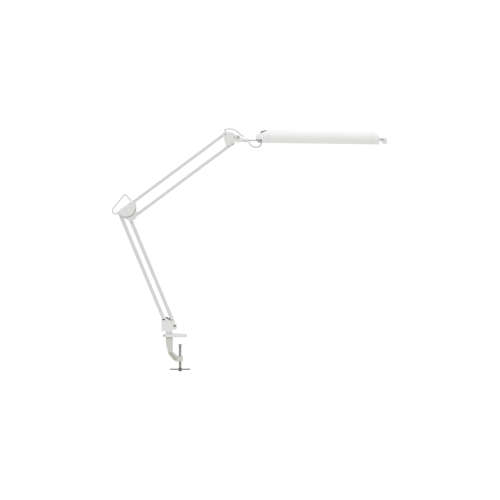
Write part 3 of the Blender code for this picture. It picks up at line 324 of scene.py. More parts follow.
def cast_enamel():
    """Cream-grey enamel over a sand casting: the sand's grain still shows, and recesses are darkened with
    painted shade.
    """
    made, tree, shader, place = new_finish("cast_enamel", IOR=1.5, Coat_Weight=0.1, Coat_Roughness=0.3)
    cloud = put(tree, "ShaderNodeTexNoise", {"Scale": 40.0, "Detail": 4.0}, {"Vector": place})
    tone = put(tree, "ShaderNodeMix", {6: linear("#dadad2"), 7: linear("#d0d0c8")},
               {0: cloud.outputs["Fac"]}, data_type="RGBA")
    # painted shade: the colour falls to a darker grey where surfaces lie within 4 mm of each other
    hollow_shade = put(tree, "ShaderNodeAmbientOcclusion", {"Distance": 0.004})
    shade = put(tree, "ShaderNodeMix", {6: linear("#a9a79e")}, {0: hollow_shade.outputs["AO"], 7: tone.outputs[2]},
                data_type="RGBA")
    tree.links.new(shade.outputs[2], shader.inputs["Base Color"])
    # sand grain, drawn at 0.8 mm so that it shows
    grain = put(tree, "ShaderNodeTexNoise", {"Scale": 1200.0, "Detail": 4.0}, {"Vector": place})
    gloss_by(tree, shader, grain.outputs["Fac"], 0.42, 0.6)
    bump_by(tree, shader, grain.outputs["Fac"], 0.5, 0.0001)
    return made


def moulded_white():
    """White ABS with a fine spark-eroded mould texture: softer shine than the enamel, a touch warmer."""
    made, tree, shader, place = new_finish("moulded_white", IOR=1.53, Subsurface_Weight=0.04,
                                           Subsurface_Scale=0.002)
    cloud = put(tree, "ShaderNodeTexNoise", {"Scale": 22.0, "Detail": 2.0}, {"Vector": place})
    colour_by(tree, shader, cloud.outputs["Fac"], "#ebebea", "#e4e4e2")
    # the mould's texture is about 0.6 mm across
    spark = put(tree, "ShaderNodeTexVoronoi", {"Scale": 1600.0}, {"Vector": place})
    gloss_by(tree, shader, spark.outputs["Distance"], 0.36, 0.48)
    bump_by(tree, shader, spark.outputs["Distance"], 0.2, 0.00004)
    return made


def mauve_nylon():
    """Mauve-grey nylon: waxy and half matt, with faint swirls from the mould."""
    made, tree, shader, place = new_finish("mauve_nylon", IOR=1.53, Specular_IOR_Level=0.4)
    swirl = put(tree, "ShaderNodeTexNoise", {"Scale": 90.0, "Detail": 5.0, "Distortion": 1.2},
                {"Vector": place})
    colour_by(tree, shader, swirl.outputs["Fac"], "#d3cbce", "#c1b9bd")
    gloss_by(tree, shader, swirl.outputs["Fac"], 0.42, 0.58)
    bump_by(tree, shader, swirl.outputs["Fac"], 0.2, 0.00005)
    return made


def turned_steel(name, deep, rubbed):
    """Dull turned steel: grey streaks round the turning and small bright rubs."""
    made, tree, shader, place = new_finish(name, Metallic=0.85)
    streak = put(tree, "ShaderNodeMapping", {"Scale": (300.0, 300.0, 2600.0)}, {"Vector": place})
    lines = put(tree, "ShaderNodeTexNoise", {"Scale": 1.0, "Detail": 3.0}, {"Vector": streak.outputs["Vector"]})
    colour_by(tree, shader, lines.outputs["Fac"], deep, rubbed)
    gloss_by(tree, shader, lines.outputs["Fac"], 0.35, 0.6)
    bump_by(tree, shader, lines.outputs["Fac"], 0.3, 0.00004)
    return made


def plated_steel():
    """Bright nickel-plated steel: a soft mirror with fine polishing lines."""
    made, tree, shader, place = new_finish("plated_steel", Metallic=1.0)
    stretch = put(tree, "ShaderNodeMapping", {"Scale": (200.0, 3000.0, 3000.0)}, {"Vector": place})
    lines = put(tree, "ShaderNodeTexNoise", {"Scale": 1.0, "Detail": 2.0},
                {"Vector": stretch.outputs["Vector"]})
    colour_by(tree, shader, lines.outputs["Fac"], "#dbdad8", "#cccbc9")
    gloss_by(tree, shader, lines.outputs["Fac"], 0.2, 0.34)
    return made


def dark_moulding(name, bare, bloomed, smooth):
    """Dark moulded rubber or plastic: matt down to a stated roughness, with a dusty bloom."""
    made, tree, shader, place = new_finish(name, IOR=1.5, Specular_IOR_Level=0.3)
    bloom = put(tree, "ShaderNodeTexNoise", {"Scale": 160.0, "Detail": 6.0}, {"Vector": place})
    colour_by(tree, shader, bloom.outputs["Fac"], bare, bloomed)
    gloss_by(tree, shader, bloom.outputs["Fac"], smooth, smooth + 0.2)
    bump_by(tree, shader, bloom.outputs["Fac"], 0.3, 0.0001)
    return made


def painted_shade_grey():
    """Matt grey with a short random nap: painted shade for the groove under the elbow's covers and the slot in
    the finger grip.
    """
    made, tree, shader, place = new_finish("painted_shade_grey", IOR=1.45, Specular_IOR_Level=0.25)
    nap = put(tree, "ShaderNodeTexNoise", {"Scale": 900.0, "Detail": 5.0, "Distortion": 0.8}, {"Vector": place})
    colour_by(tree, shader, nap.outputs["Fac"], "#bdbbb8", "#a19f9c")
    gloss_by(tree, shader, nap.outputs["Fac"], 0.7, 0.9)
    bump_by(tree, shader, nap.outputs["Fac"], 0.4, 0.0001)
    return made


def pvc_sheath():
    """White PVC sheath: soft sheen, slightly grubby, with faint drawing lines along it."""
    made, tree, shader, place = new_finish("pvc_sheath", IOR=1.52, Subsurface_Weight=0.05,
                                           Subsurface_Scale=0.001)
    grub = put(tree, "ShaderNodeTexNoise", {"Scale": 120.0, "Detail": 4.0}, {"Vector": place})
    colour_by(tree, shader, grub.outputs["Fac"], "#e0e0de", "#d2d2cf")
    gloss_by(tree, shader, grub.outputs["Fac"], 0.35, 0.5)
    bump_by(tree, shader, grub.outputs["Fac"], 0.15, 0.00005)
    return made


def anodised_sheet():
    """Bright anodised aluminium sheet, rolled lengthways: stretched reflections along X."""
    made, tree, shader, place = new_finish("anodised_sheet", Metallic=1.0)
    rolled = put(tree, "ShaderNodeMapping", {"Scale": (40.0, 1800.0, 1800.0)}, {"Vector": place})
    lines = put(tree, "ShaderNodeTexNoise", {"Scale": 1.0, "Detail": 3.0}, {"Vector": rolled.outputs["Vector"]})
    colour_by(tree, shader, lines.outputs["Fac"], "#e9eaec", "#dcdde0")
    gloss_by(tree, shader, lines.outputs["Fac"], 0.12, 0.26)
    return made


def phosphor_glass():
    """Glass tube with a chalky phosphor coat inside: white under a clear gloss, a little greyer in patches."""
    made, tree, shader, place = new_finish("phosphor_glass", IOR=1.5, Coat_Weight=1.0, Coat_Roughness=0.03)
    chalk = put(tree, "ShaderNodeTexNoise", {"Scale": 60.0, "Detail": 4.0}, {"Vector": place})
    colour_by(tree, shader, chalk.outputs["Fac"], "#f2f3f1", "#e4e6e4")
    gloss_by(tree, shader, chalk.outputs["Fac"], 0.5, 0.62)
    return made


def red_lens():
    """Translucent red polycarbonate over a dark core: deep red-brown with a clear gloss."""
    made, tree, shader, place = new_finish("red_lens", IOR=1.58, Coat_Weight=0.8, Coat_Roughness=0.05)
    depth = put(tree, "ShaderNodeTexNoise", {"Scale": 260.0, "Detail": 2.0}, {"Vector": place})
    colour_by(tree, shader, depth.outputs["Fac"], "#7d4432", "#5f3224")
    gloss_by(tree, shader, depth.outputs["Fac"], 0.15, 0.25)
    return made


ENAMEL = stove_enamel("stove_enamel", "#eaeae9", "#e5e5e3")
TUBE_ENAMEL = stove_enamel("tube_enamel", "#e0e0df", "#dadad8")
CASTING = cast_enamel()
PLASTIC = moulded_white()
NYLON = mauve_nylon()
# blackened steel, also used as the painted shade in the jaw bolts' cross recesses
DARK_STEEL_AND_RECESS_SHADE = turned_steel("blackened_steel_and_recess_shade", "#5d5d5c", "#858482")
ZINC = turned_steel("zinc_plated_steel", "#aaa9a7", "#c6c5c3")
STEEL = plated_steel()
RUBBER = dark_moulding("dark_rubber", "#2c2b2a", "#45433f", 0.65)
# dark caps for the base pivots, and the painted shade of the strips on the base bracket
DARK_CAPS_AND_SLOT_SHADE = dark_moulding("dark_caps_and_slot_shade", "#4c4b49", "#62605d", 0.65)
BEZEL = dark_moulding("switch_plastic", "#38251f", "#4a3028", 0.35)
SHADE_GREY = painted_shade_grey()
SHEATH = pvc_sheath()
REFLECTOR = anodised_sheet()
GLASS = phosphor_glass()
LENS = red_lens()
BY_SLOT = {"white_enamel": ENAMEL, "clamp_enamel": CASTING, "white_plastic": PLASTIC, "grey_plastic": NYLON,
           "dark_steel": DARK_STEEL_AND_RECESS_SHADE, "bright_steel": STEEL, "rubber": RUBBER, "cable_sheath": SHEATH,
           "reflector_sheet": REFLECTOR, "lamp_glass": GLASS, "amber_lens": LENS}


def refinish_nodes():
    """Gives each CAD node the finish of its slot; most are then replaced by finer pieces."""
    for part in frame["record"]["subparts"]:
        mesh = NODES[part["node"]].data
        mesh.materials.clear()
        mesh.materials.append(BY_SLOT[part["material_slot"]])


# ================================================================== clamp
def make_clamp():
    """The cast frame, the jaw plate with its ribbed pad, and the bushes."""
    finish_piece("clamp_casting", soften(copy_of("clamp_frame"), 0.8), CASTING, "clamp", "clamp_frame",
                 slot="clamp_enamel")
    low, high = box_of("upper_jaw")
    plate = outline_bar(rounded([(low.x, low.z, 1.0), (high.x, low.z, 2.0), (high.x, high.z, 4.5),
                                 (low.x, high.z, 2.0)]), low.y, high.y)
    finish_piece("jaw_plate", soften(plate, 1.4, 4), ENAMEL, "clamp", "upper_jaw", slot="white_enamel")
    make_pad()
    low, high = box_of("swivel_bush")
    flange = high.z - 1.5
    profile = [(6.3, high.z), (10.6, high.z), (11.5, high.z - 0.5), (11.5, flange), (7.5, flange), (7.5, low.z),
               (6.3, low.z), (6.3, high.z)]
    finish_piece("nylon_bush", turned(profile), NYLON, "clamp", "swivel_bush", slot="grey_plastic",
                 where=Matrix.Translation((SWIVEL_X, 0, 0)))
    low, high = box_of("thread_bush")
    profile = [(5.3, high.z), (7.9, high.z), (8.4, high.z - 0.4), (8.4, high.z - 1.2), (7.2, high.z - 1.2),
               (7.2, low.z), (5.3, low.z), (5.3, high.z)]
    finish_piece("threaded_insert", turned(profile), STEEL, "clamp", "thread_bush", slot="bright_steel")
    for side in ("front", "back"):
        make_jaw_bolt(side)


def make_jaw_bolt(side):
    """A countersunk bolt, flush with the jaw; its cross recess is painted shade, a dark cross laid on the head.
    """
    low, high = box_of(f"jaw_screw_{side}")
    middle = (low + high) / 2
    profile = [(0, high.z), (3.4, high.z), (3.6, high.z - 0.2), (2.0, high.z - 1.9), (2.0, low.z), (0, low.z)]
    shank = turned(profile, 32)
    bolt = moved(shank, Matrix.Translation((middle.x, middle.y, 0)))
    # painted shade: a thin dark cross on the head stands in for the shadow in the recess
    cross = [moved(block((-2.2, -0.35, high.z - 0.02), (2.2, 0.35, high.z + 0.06)),
                   Matrix.Translation((middle.x, middle.y, 0)) @ Matrix.Rotation(turn, 4, "Z"))
             for turn in (0.4, 0.4 + math.pi / 2)]
    finish_piece(f"jaw_bolt_{side}", bolt, STEEL, "clamp", f"jaw_screw_{side}", slot="bright_steel")
    finish_piece(f"jaw_bolt_recess_shade_{side}", joined(*cross), DARK_STEEL_AND_RECESS_SHADE, "clamp", slot="dark_steel")


def make_pad():
    """The rubber pad under the jaw, with ribs across it."""
    low, high = box_of("jaw_pad")
    parts = [block((low.x, low.y, low.z + 0.7), (high.x, high.y, high.z))]
    rib = low.x + 1.2
    while rib < high.x - 1.8:
        parts.append(soften(block((rib, low.y + 0.6, low.z), (rib + 1.2, high.y - 0.6, low.z + 1.0)), 0.3, 2))
        rib += 2.6
    finish_piece("ribbed_pad", joined(*parts), RUBBER, "clamp", "jaw_pad", slot="rubber")


def thread(low, high):
    """A screw thread between two heights: one ridge line, swept round with a climb of one pitch."""
    bm = bmesh.new()
    count = int((high - low) / PITCH) + 1
    row = []
    for i in range(count):
        crest = low + i * PITCH
        row += [(SCREW_RADIUS - THREAD_DEPTH, crest), (SCREW_RADIUS - THREAD_DEPTH, crest + 0.3),
                (SCREW_RADIUS, crest + 0.9), (SCREW_RADIUS, crest + 1.3)]
    verts = [bm.verts.new((r, 0, z)) for r, z in row]
    edges = [bm.edges.new(pair) for pair in zip(verts, verts[1:])]
    steps = 28
    bmesh.ops.spin(bm, geom=verts + edges, cent=(0, 0, 0), axis=(0, 0, 1), dvec=(0, 0, PITCH / steps),
                   angle=2 * math.pi, steps=steps, use_merge=False)
    bmesh.ops.remove_doubles(bm, verts=bm.verts, dist=0.01)
    bmesh.ops.recalc_face_normals(bm, faces=bm.faces)
    return bm


def make_screw():
    """The pressure foot, the threaded screw with its hub, and the tommy bar."""
    low, high = box_of("pressure_foot")
    profile = [(0, high.z - 0.6), (3.6, high.z - 0.6), (4.4, high.z), (5.2, high.z), (5.6, high.z - 0.4),
               (5.4, low.z + 2.6), (5.1, low.z + 2.2), (5.1, low.z + 0.4), (4.8, low.z), (3.3, low.z),
               (3.3, low.z + 4.8), (0, low.z + 4.8)]
    foot = ribbed_edge(turned(profile, FLUTES), 5.5, 0.3, low.z + 2.0, high.z)
    finish_piece("swivel_foot", foot, ZINC, "pressure_foot", "pressure_foot", slot="dark_steel")
    low, high = box_of("clamp_screw")
    hub = low.z + 10.6
    neck = high.z - 5.1
    core = SCREW_RADIUS - THREAD_DEPTH - 0.1
    profile = [(0, high.z), (2.6, high.z), (3.0, high.z - 0.4), (3.0, neck), (core, neck), (core, neck - 1.2),
               (core, hub + 0.4), (5.0, hub + 0.4), (5.6, hub - 0.3), (5.6, low.z + 1.2), (4.6, low.z),
               (0, low.z)]
    finish_piece("screw_core", turned(profile), DARK_STEEL_AND_RECESS_SHADE, "clamp_screw", "clamp_screw", slot="dark_steel")
    finish_piece("screw_thread", thread(hub + 0.6, neck - 4.2), ZINC, "clamp_screw", slot="dark_steel")
    low, high = box_of("tommy_bar")
    reach = (high.x - low.x) / 2
    middle = (low + high) / 2
    profile = [(0, reach)]
    profile += [(2.8 * math.sin(turn), reach - 2.8 + 2.8 * math.cos(turn)) for turn in (0.4, 0.8, 1.2, 1.57)]
    profile += [(2.6, reach - 4.0), (2.2, reach - 4.6)]
    profile += [(r, -h) for r, h in reversed(profile)]
    finish_piece("turning_bar", turned(profile, 32), DARK_STEEL_AND_RECESS_SHADE, "clamp_screw", "tommy_bar", slot="dark_steel",
                 where=Matrix.Translation(middle) @ AXIS_X)


def make_lock_screw():
    """The knurled locking screw behind the jaw."""
    low, high = box_of("lock_screw")
    head = 8.5
    length = high.x - low.x
    profile = [(0, 0), (3.8, 0), (4.8, 0.9), (4.8, 3.6), (4.8, 6.2), (4.4, head), (2.0, head), (2.0, length),
               (0, length)]
    screw = ribbed_edge(turned(profile, FLUTES), 4.6, 0.35, 0.4, head - 0.5)
    finish_piece("knurled_screw", screw, STEEL, "lock_screw", "lock_screw", slot="bright_steel",
                 where=Matrix.Translation((low.x, 0, LOCK_HEIGHT)) @ AXIS_X)


# ================================================================== swivel and base bracket
def domed_rivet(name, point, reach, body, node, material=STEEL, slot="bright_steel"):
    """A rivet across the arms: a shallow dome with a dimple at each end, over a thin washer."""
    top = reach + 0.3
    dome = [(0.0, top + 1.1), (0.9, top + 1.15), (1.4, top + 1.55), (2.6, top + 1.35), (3.5, top + 0.85),
            (RIVET - 0.15, top + 0.25), (RIVET, top)]
    profile = dome + [(2.5, top)] + [(2.5, -top)] + [(r, -h) for r, h in reversed(dome)]
    finish_piece(name, turned(profile, 40), material, body, node, slot=slot,
                 where=Matrix.Translation(point) @ AXIS_Y)


def make_swivel():
    """The turning post and the base bracket with its two dark pivots."""
    low, high = box_of("swivel_post")
    collar = 15.1
    top = 20.1
    profile = [(0, high.z), (5.0, high.z), (5.0, top), (9.8, top), (10.8, top - 0.4), (11.2, top - 1.2),
               (11.2, collar + 0.8), (10.6, collar), (6.0, collar), (6.0, low.z), (0, low.z)]
    finish_piece("turning_post", turned(profile), ENAMEL, "swivel", "swivel_post", slot="white_enamel",
                 where=Matrix.Translation((SWIVEL_X, 0, 0)))
    finish_piece("pivot_bracket", soften(copy_of("base_bracket"), 0.7), ENAMEL, "swivel", "base_bracket",
                 slot="white_enamel")
    for name, point in (("rear", BASE_REAR), ("front", BASE_FRONT)):
        make_base_pivot(name, point)
    # painted shade: dark strips for the shadowed slot between the lower tubes
    make_slot_shade_strips()
    low, high = box_of("inlet_grommet")
    middle = (low + high) / 2
    profile = [(1.6, 1.3), (3.4, 1.3), (4.2, 0.7), (4.2, 0.0), (3.0, 0.0), (3.0, -3.5), (1.6, -3.5), (1.6, 1.3)]
    finish_piece("inlet_ring", turned(profile, 32), RUBBER, "swivel", "inlet_grommet", slot="rubber",
                 where=Matrix.Translation((middle.x, high.y - 1.3, middle.z)) @ AXIS_Y)


def make_base_pivot(name, point):
    """A base pivot: a pale washer under an oblong dark cap at each end of the shank."""
    seat, top = 9.9, 11.6
    width, depth, corner = 4.2, 1.9, 1.8
    oblong = rounded([(-width, -depth, corner), (width, -depth, corner), (width, depth, corner),
                      (-width, depth, corner)])
    caps = [soften(outline_bar(oblong, *sorted((side * seat, side * top))), 0.5, 3) for side in (-1, 1)]
    shank = moved(turned([(0, seat), (2.5, seat), (2.5, -seat), (0, -seat)], 24), AXIS_Y)
    finish_piece(f"base_pivot_{name}", joined(shank, *caps), DARK_CAPS_AND_SLOT_SHADE, "swivel", f"base_rivet_{name}",
                 slot="rubber", where=Matrix.Translation(point))
    rings = [moved(turned([(2.6, 9.62), (4.4, 9.62), (4.6, 9.8), (4.4, 9.95), (2.6, 9.95), (2.6, 9.62)], 32),
                   Matrix.Rotation(turn, 4, "X")) for turn in (math.pi / 2, -math.pi / 2)]
    finish_piece(f"base_washers_{name}", joined(*rings), ENAMEL, "swivel", slot="white_enamel",
                 where=Matrix.Translation(point))


def make_slot_shade_strips():
    """Dark strips standing proud on the bracket's sloping edges: painted shade for the shadowed slot between
    the lower tubes.
    """
    along = (BASE_FRONT - BASE_REAR).normalized()
    up = Vector((-along.z, 0, along.x))
    start = BASE_REAR + up * 9.0 + along * 3.5
    turn = math.atan2(-along.z, along.x)
    parts = []
    for side in (-1, 1):
        strip = soften(block((0, -1.3, -0.4), (18.0, 1.3, 2.2)), 0.7, 3)
        parts.append(moved(strip, place_at(start + Vector((0, side * 8.1, 0)), turn)))
    finish_piece("slot_shade_strips", joined(*parts), DARK_CAPS_AND_SLOT_SHADE, "swivel", slot="rubber")


# ================================================================== arms
def square_ring(half, radius, z, bm):
    """A square of edges with round corners, at one height."""
    corners = rounded([(-half, -half, radius), (half, -half, radius), (half, half, radius),
                       (-half, half, radius)], 5)
    verts = [bm.verts.new((x, y, z)) for x, y in corners]
    return [bm.edges.new(pair) for pair in zip(verts, verts[1:] + verts[:1])]


def square_tube(size, low, high):
    """A drawn square tube with round corners and its bore."""
    bm = bmesh.new()
    half = size / 2
    outer = [square_ring(half, 1.6, z, bm) for z in (low, high)]
    inner = [square_ring(half - TUBE_WALL, 0.7, z, bm) for z in (low, high)]
    bmesh.ops.bridge_loops(bm, edges=outer[0] + outer[1])
    bmesh.ops.bridge_loops(bm, edges=inner[0] + inner[1])
    for end in (0, 1):
        bmesh.ops.bridge_loops(bm, edges=outer[end] + inner[end])
    bmesh.ops.recalc_face_normals(bm, faces=bm.faces)
    return bm


def tube_eye(size, way):
    """A moulded eye round a pivot, with a shoulder that closes the tube's end."""
    half = size / 2
    round_end = [(half * math.cos(math.pi * (1 + i / 14)), way * half * math.sin(math.pi * (1 + i / 14)))
                 for i in range(15)]
    outline = round_end + [(half, way * (EYE_LENGTH - 2.4)), (-half, way * (EYE_LENGTH - 2.4))]
    eye = soften(outline_bar(outline, -EYE_WIDTH / 2, EYE_WIDTH / 2), 0.9, 3)
    shoulder = sorted((way * (EYE_LENGTH - 2.2), way * EYE_LENGTH))
    collar = soften(block((-half - 0.3, -half - 0.3, shoulder[0]), (half + 0.3, half + 0.3, shoulder[1])),
                    0.5, 3)
    neck = sorted((way * (EYE_LENGTH - 2.6), way * (EYE_LENGTH + 10)))
    inside = half - TUBE_WALL - 0.2
    plug = block((-inside, -inside, neck[0]), (inside, inside, neck[1]))
    return joined(eye, collar, plug)


def make_arm(name, body, start, end, size):
    """A square tube with its two eyes, along the line between two pivots."""
    lean = lean_of(start, end)
    length = (end - start).length
    frame_here = place_at(start, lean)
    finish_piece(f"{name}_drawn_tube", square_tube(size, EYE_LENGTH + 0.3, length - EYE_LENGTH - 0.3),
                 TUBE_ENAMEL, body, f"{name}_tube", slot="white_enamel", where=frame_here)
    finish_piece(f"{name}_foot_eye", tube_eye(size, 1), PLASTIC, body, f"{name}_lower_eye",
                 slot="white_plastic", where=frame_here)
    finish_piece(f"{name}_head_eye", tube_eye(size, -1), PLASTIC, body, f"{name}_upper_eye",
                 slot="white_plastic", where=place_at(end, lean))


def make_arms():
    """Both pairs of tubes, the cable's sleeve on the lower rear tube and its grommet on the upper top one."""
    make_arm("lower_rear", "lower_rear_arm", BASE_REAR, ELBOW_REAR, LOWER_TUBE)
    make_arm("lower_front", "lower_front_arm", BASE_FRONT, ELBOW_FRONT, LOWER_TUBE)
    make_arm("upper_top", "upper_top_arm", ELBOW_TOP, KNUCKLE_TOP, UPPER_TUBE)
    make_arm("upper_bottom", "upper_bottom_arm", ELBOW_LOW, KNUCKLE_LOW, UPPER_TUBE)
    profile = [(0, 0), (4.2, 0), (4.2, -1.2), (3.9, -1.5), (3.9, -2.3), (3.6, -2.6), (3.6, -3.4), (3.2, -4.0),
               (0, -4.0)]
    finish_piece("cable_relief", turned(profile, 32), PLASTIC, "lower_rear_arm", "cable_sleeve",
                 slot="white_plastic", where=place_at(ELBOW_REAR + Vector((-7.3, 0, -4.6)), math.radians(84)))
    rim = ELBOW_TOP + Matrix.Rotation(UPPER_LEAN, 3, "Y") @ Vector((-UPPER_TUBE / 2 - 0.2, 0, 27.2))
    profile = [(0, 1.6), (2.9, 1.6), (3.5, 0.9), (4.2, 0.4), (4.2, 0), (0, 0)]
    finish_piece("cable_ring", turned(profile, 32), PLASTIC, "upper_top_arm", "cable_grommet",
                 slot="white_plastic", where=place_at(rim, UPPER_LEAN - math.pi / 2))


# ================================================================== elbow
def half_disc(radius, edge):
    """Half a disc round the elbow's top pivot, cut flat just above the upper arm's line."""
    start = math.asin(edge / radius)
    arc = [(radius * math.cos(turn), radius * math.sin(turn))
           for turn in (start - i * (math.pi + 2 * start) / 40 for i in range(41))]
    return arc


def ring_arc(outer, inner, start, end, steps=24):
    """Part of a flat ring, between two angles."""
    turns = [math.radians(start + (end - start) * i / steps) for i in range(steps + 1)]
    arc = [(outer * math.cos(turn), outer * math.sin(turn)) for turn in turns]
    return arc + [(inner * math.cos(turn), inner * math.sin(turn)) for turn in reversed(turns)]


def make_elbow():
    """The pivot plates, their half-round covers over grey rings of painted shade, and the pivots."""
    slope = place_at(ELBOW_TOP, UPPER_LEAN - math.pi / 2)
    for side, word in ((-1, "front"), (1, "back")):
        finish_piece(f"pivot_plate_{word}", soften(copy_of(f"elbow_plate_{word}"), 0.35, 2), ENAMEL, "elbow",
                     f"elbow_plate_{word}", slot="white_enamel")
        depth = sorted((side * (PLATE_OUT + 0.3), side * COVER_OUT))
        cover = soften(outline_bar(half_disc(31.6, 6.0), *depth), 1.5, 4)
        disc = outline_bar(half_disc(24.0, 2.2), *sorted((side * (COVER_OUT - 0.2), side * (COVER_OUT + 0.5))))
        finish_piece(f"half_cover_{word}", joined(cover, soften(disc, 0.4, 2)), PLASTIC, "elbow",
                     f"elbow_cover_{word}", slot="white_plastic", where=slope)
        # painted shade: a grey ring just past each cover's lower edge stands in for the dark groove under it
        depth = sorted((side * (PLATE_OUT + 0.05), side * (PLATE_OUT + 1.6)))
        ring = soften(outline_bar(ring_arc(33.9, 26.0, -42, -138), *depth), 0.3, 2)
        finish_piece(f"painted_shade_ring_{word}", ring, SHADE_GREY, "elbow", slot="grey_plastic", where=slope)
    pin = turned([(0, PLATE_OUT), (2.2, PLATE_OUT), (2.5, PLATE_OUT - 0.3), (2.5, 0.3 - PLATE_OUT),
                  (2.2, -PLATE_OUT), (0, -PLATE_OUT)], 24)
    finish_piece("hidden_pin", pin, STEEL, "elbow", "elbow_pin_rear", slot="bright_steel",
                 where=Matrix.Translation(ELBOW_REAR) @ AXIS_Y)
    domed_rivet("elbow_pivot_top", ELBOW_TOP, COVER_OUT, "elbow", "elbow_rivet_top", ENAMEL,
                slot="white_enamel")
    domed_rivet("elbow_pivot_front", ELBOW_FRONT, PLATE_OUT, "elbow", "elbow_rivet_front", ENAMEL,
                slot="white_enamel")
    domed_rivet("elbow_pivot_low", ELBOW_LOW, PLATE_OUT, "elbow", "elbow_rivet_low", ENAMEL,
                slot="white_enamel")


# ================================================================== cable loops
ELBOW_LOOP = [(-11.7, -5.0), (-15.8, -4.8), (-20.5, -1.6), (-23.8, 4.5), (-22.6, 11.5), (-18.0, 18.5),
              (-9.5, 28.5), (0.0, 39.5), (8.5, 50.5), (13.3, 57.0), (18.5, 60.6), (24.0, 58.0), (30.0, 51.5),
              (36.5, 44.0), (40.3, 39.7)]
KNUCKLE_LOOP = [(4.2, 8.8), (1.6, 9.4), (-1.6, 11.8), (0.8, 14.8), (8.0, 16.3), (17.0, 16.5), (26.0, 15.5),
                (34.0, 12.2), (41.5, 6.8), (47.5, 2.4), (53.0, -2.4), (57.8, -6.2), (61.0, -9.3), (63.2, -11.7)]
HEAD_LOOP = [(36.8, -15.6), (39.5, -19.8), (43.8, -26.2), (49.0, -30.3), (56.5, -32.5), (64.0, -33.0),
             (71.5, -31.0), (76.5, -27.6), (78.6, -24.0), (78.8, -20.8), (78.8, -17.6)]


def smooth_route(stops, steps=6):
    """Points on a smooth curve through a list of stops."""
    ends_added = [2 * stops[0] - stops[1], *stops, 2 * stops[-1] - stops[-2]]
    route = []
    for a, b, c, d in zip(ends_added, ends_added[1:], ends_added[2:], ends_added[3:]):
        for step in range(steps):
            t = step / steps
            square = 2 * a - 5 * b + 4 * c - d
            cube = 3 * b - a - 3 * c + d
            route.append((2 * b + (c - a) * t + square * t ** 2 + cube * t ** 3) / 2)
    return [*route, stops[-1]]


def round_bar(name, route, radius, material, slot, *replaced):
    """A round bar bent along a route, in millimetres, as a mesh piece."""
    curve = bpy.data.curves.new(name, "CURVE")
    curve.dimensions = "3D"
    curve.bevel_depth = radius * MM
    curve.bevel_resolution = 6
    curve.use_fill_caps = True
    spline = curve.splines.new("POLY")
    spline.points.add(len(route) - 1)
    for point, place in zip(spline.points, route):
        point.co = (*(place * MM), 1)
    holder = bpy.data.objects.new("route", curve)
    bpy.context.scene.collection.objects.link(holder)
    mesh = bpy.data.meshes.new_from_object(holder.evaluated_get(bpy.context.evaluated_depsgraph_get()))
    bpy.data.objects.remove(holder)
    bpy.data.curves.remove(curve)
    bm = bmesh.new()
    bm.from_mesh(mesh)
    bpy.data.meshes.remove(mesh)
    bmesh.ops.remove_doubles(bm, verts=bm.verts, dist=0.00001)
    bmesh.ops.scale(bm, vec=(1000, 1000, 1000), verts=bm.verts)
    return finish_piece(name, bm, material, None, *replaced, slot=slot, sharp=60)


def sheathed(name, route, *replaced):
    """A length of cable."""
    return round_bar(name, route, CABLE, SHEATH, "cable_sheath", *replaced)


def in_plane(stops, matrix):
    """Stops in a frame's XZ plane, in the lamp's own frame."""
    return [matrix @ Vector((x, 0, z)) for x, z in stops]


def make_cables():
    """The three loops of cable where they cross a joint; the elbow's loop is in two pieces, split at its top,
    and the head's loop rides the head.
    """
    route = smooth_route(in_plane(ELBOW_LOOP, place_at(ELBOW_REAR)))
    apex = max(range(len(route)), key=lambda i: route[i].z)
    rear = sheathed("elbow_loop_rear", route[:apex + 1], "elbow_cable")
    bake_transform(rear)
    front = sheathed("elbow_loop_front", route[apex:])
    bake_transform(front)
    route = smooth_route(in_plane(KNUCKLE_LOOP, place_at(KNUCKLE_TOP)))
    loop = sheathed("knuckle_loop", route, "knuckle_cable")
    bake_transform(loop)
    route = smooth_route(in_plane(HEAD_LOOP, HEAD))
    loop = sheathed("head_loop", route, "head_cable")
    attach(loop, "head")


# ================================================================== upper knuckle and head bracket
def make_knuckle():
    """The forked casting at the top of the arms, and the head's fork on its tilt hinge."""
    finish_piece("knuckle_casting", soften(copy_of("knuckle_body"), 0.7), ENAMEL, "upper_knuckle",
                 "knuckle_body", slot="white_enamel")
    domed_rivet("knuckle_pivot_top", KNUCKLE_TOP, PLATE_OUT, "upper_knuckle", "knuckle_rivet_top")
    domed_rivet("knuckle_pivot_low", KNUCKLE_LOW, PLATE_OUT, "upper_knuckle", "knuckle_rivet_low")
    finish_piece("head_fork", soften(copy_of("head_bracket"), 0.6), ENAMEL, "head_bracket", "head_bracket",
                 slot="white_enamel")
    low, high = box_of("tilt_bolt")
    reach = high.y
    head = [(0, reach - 0.8), (1.5, reach - 0.8), (1.8, reach), (3.6, reach), (4.0, reach - 0.5),
            (4.0, reach - 2.2), (2.2, reach - 2.2)]
    profile = head + [(r, -h) for r, h in reversed(head)]
    finish_piece("tilt_screw", turned(profile, 32), ZINC, "head_bracket", "tilt_bolt", slot="bright_steel",
                 where=Matrix.Translation(HINGE) @ AXIS_Y)


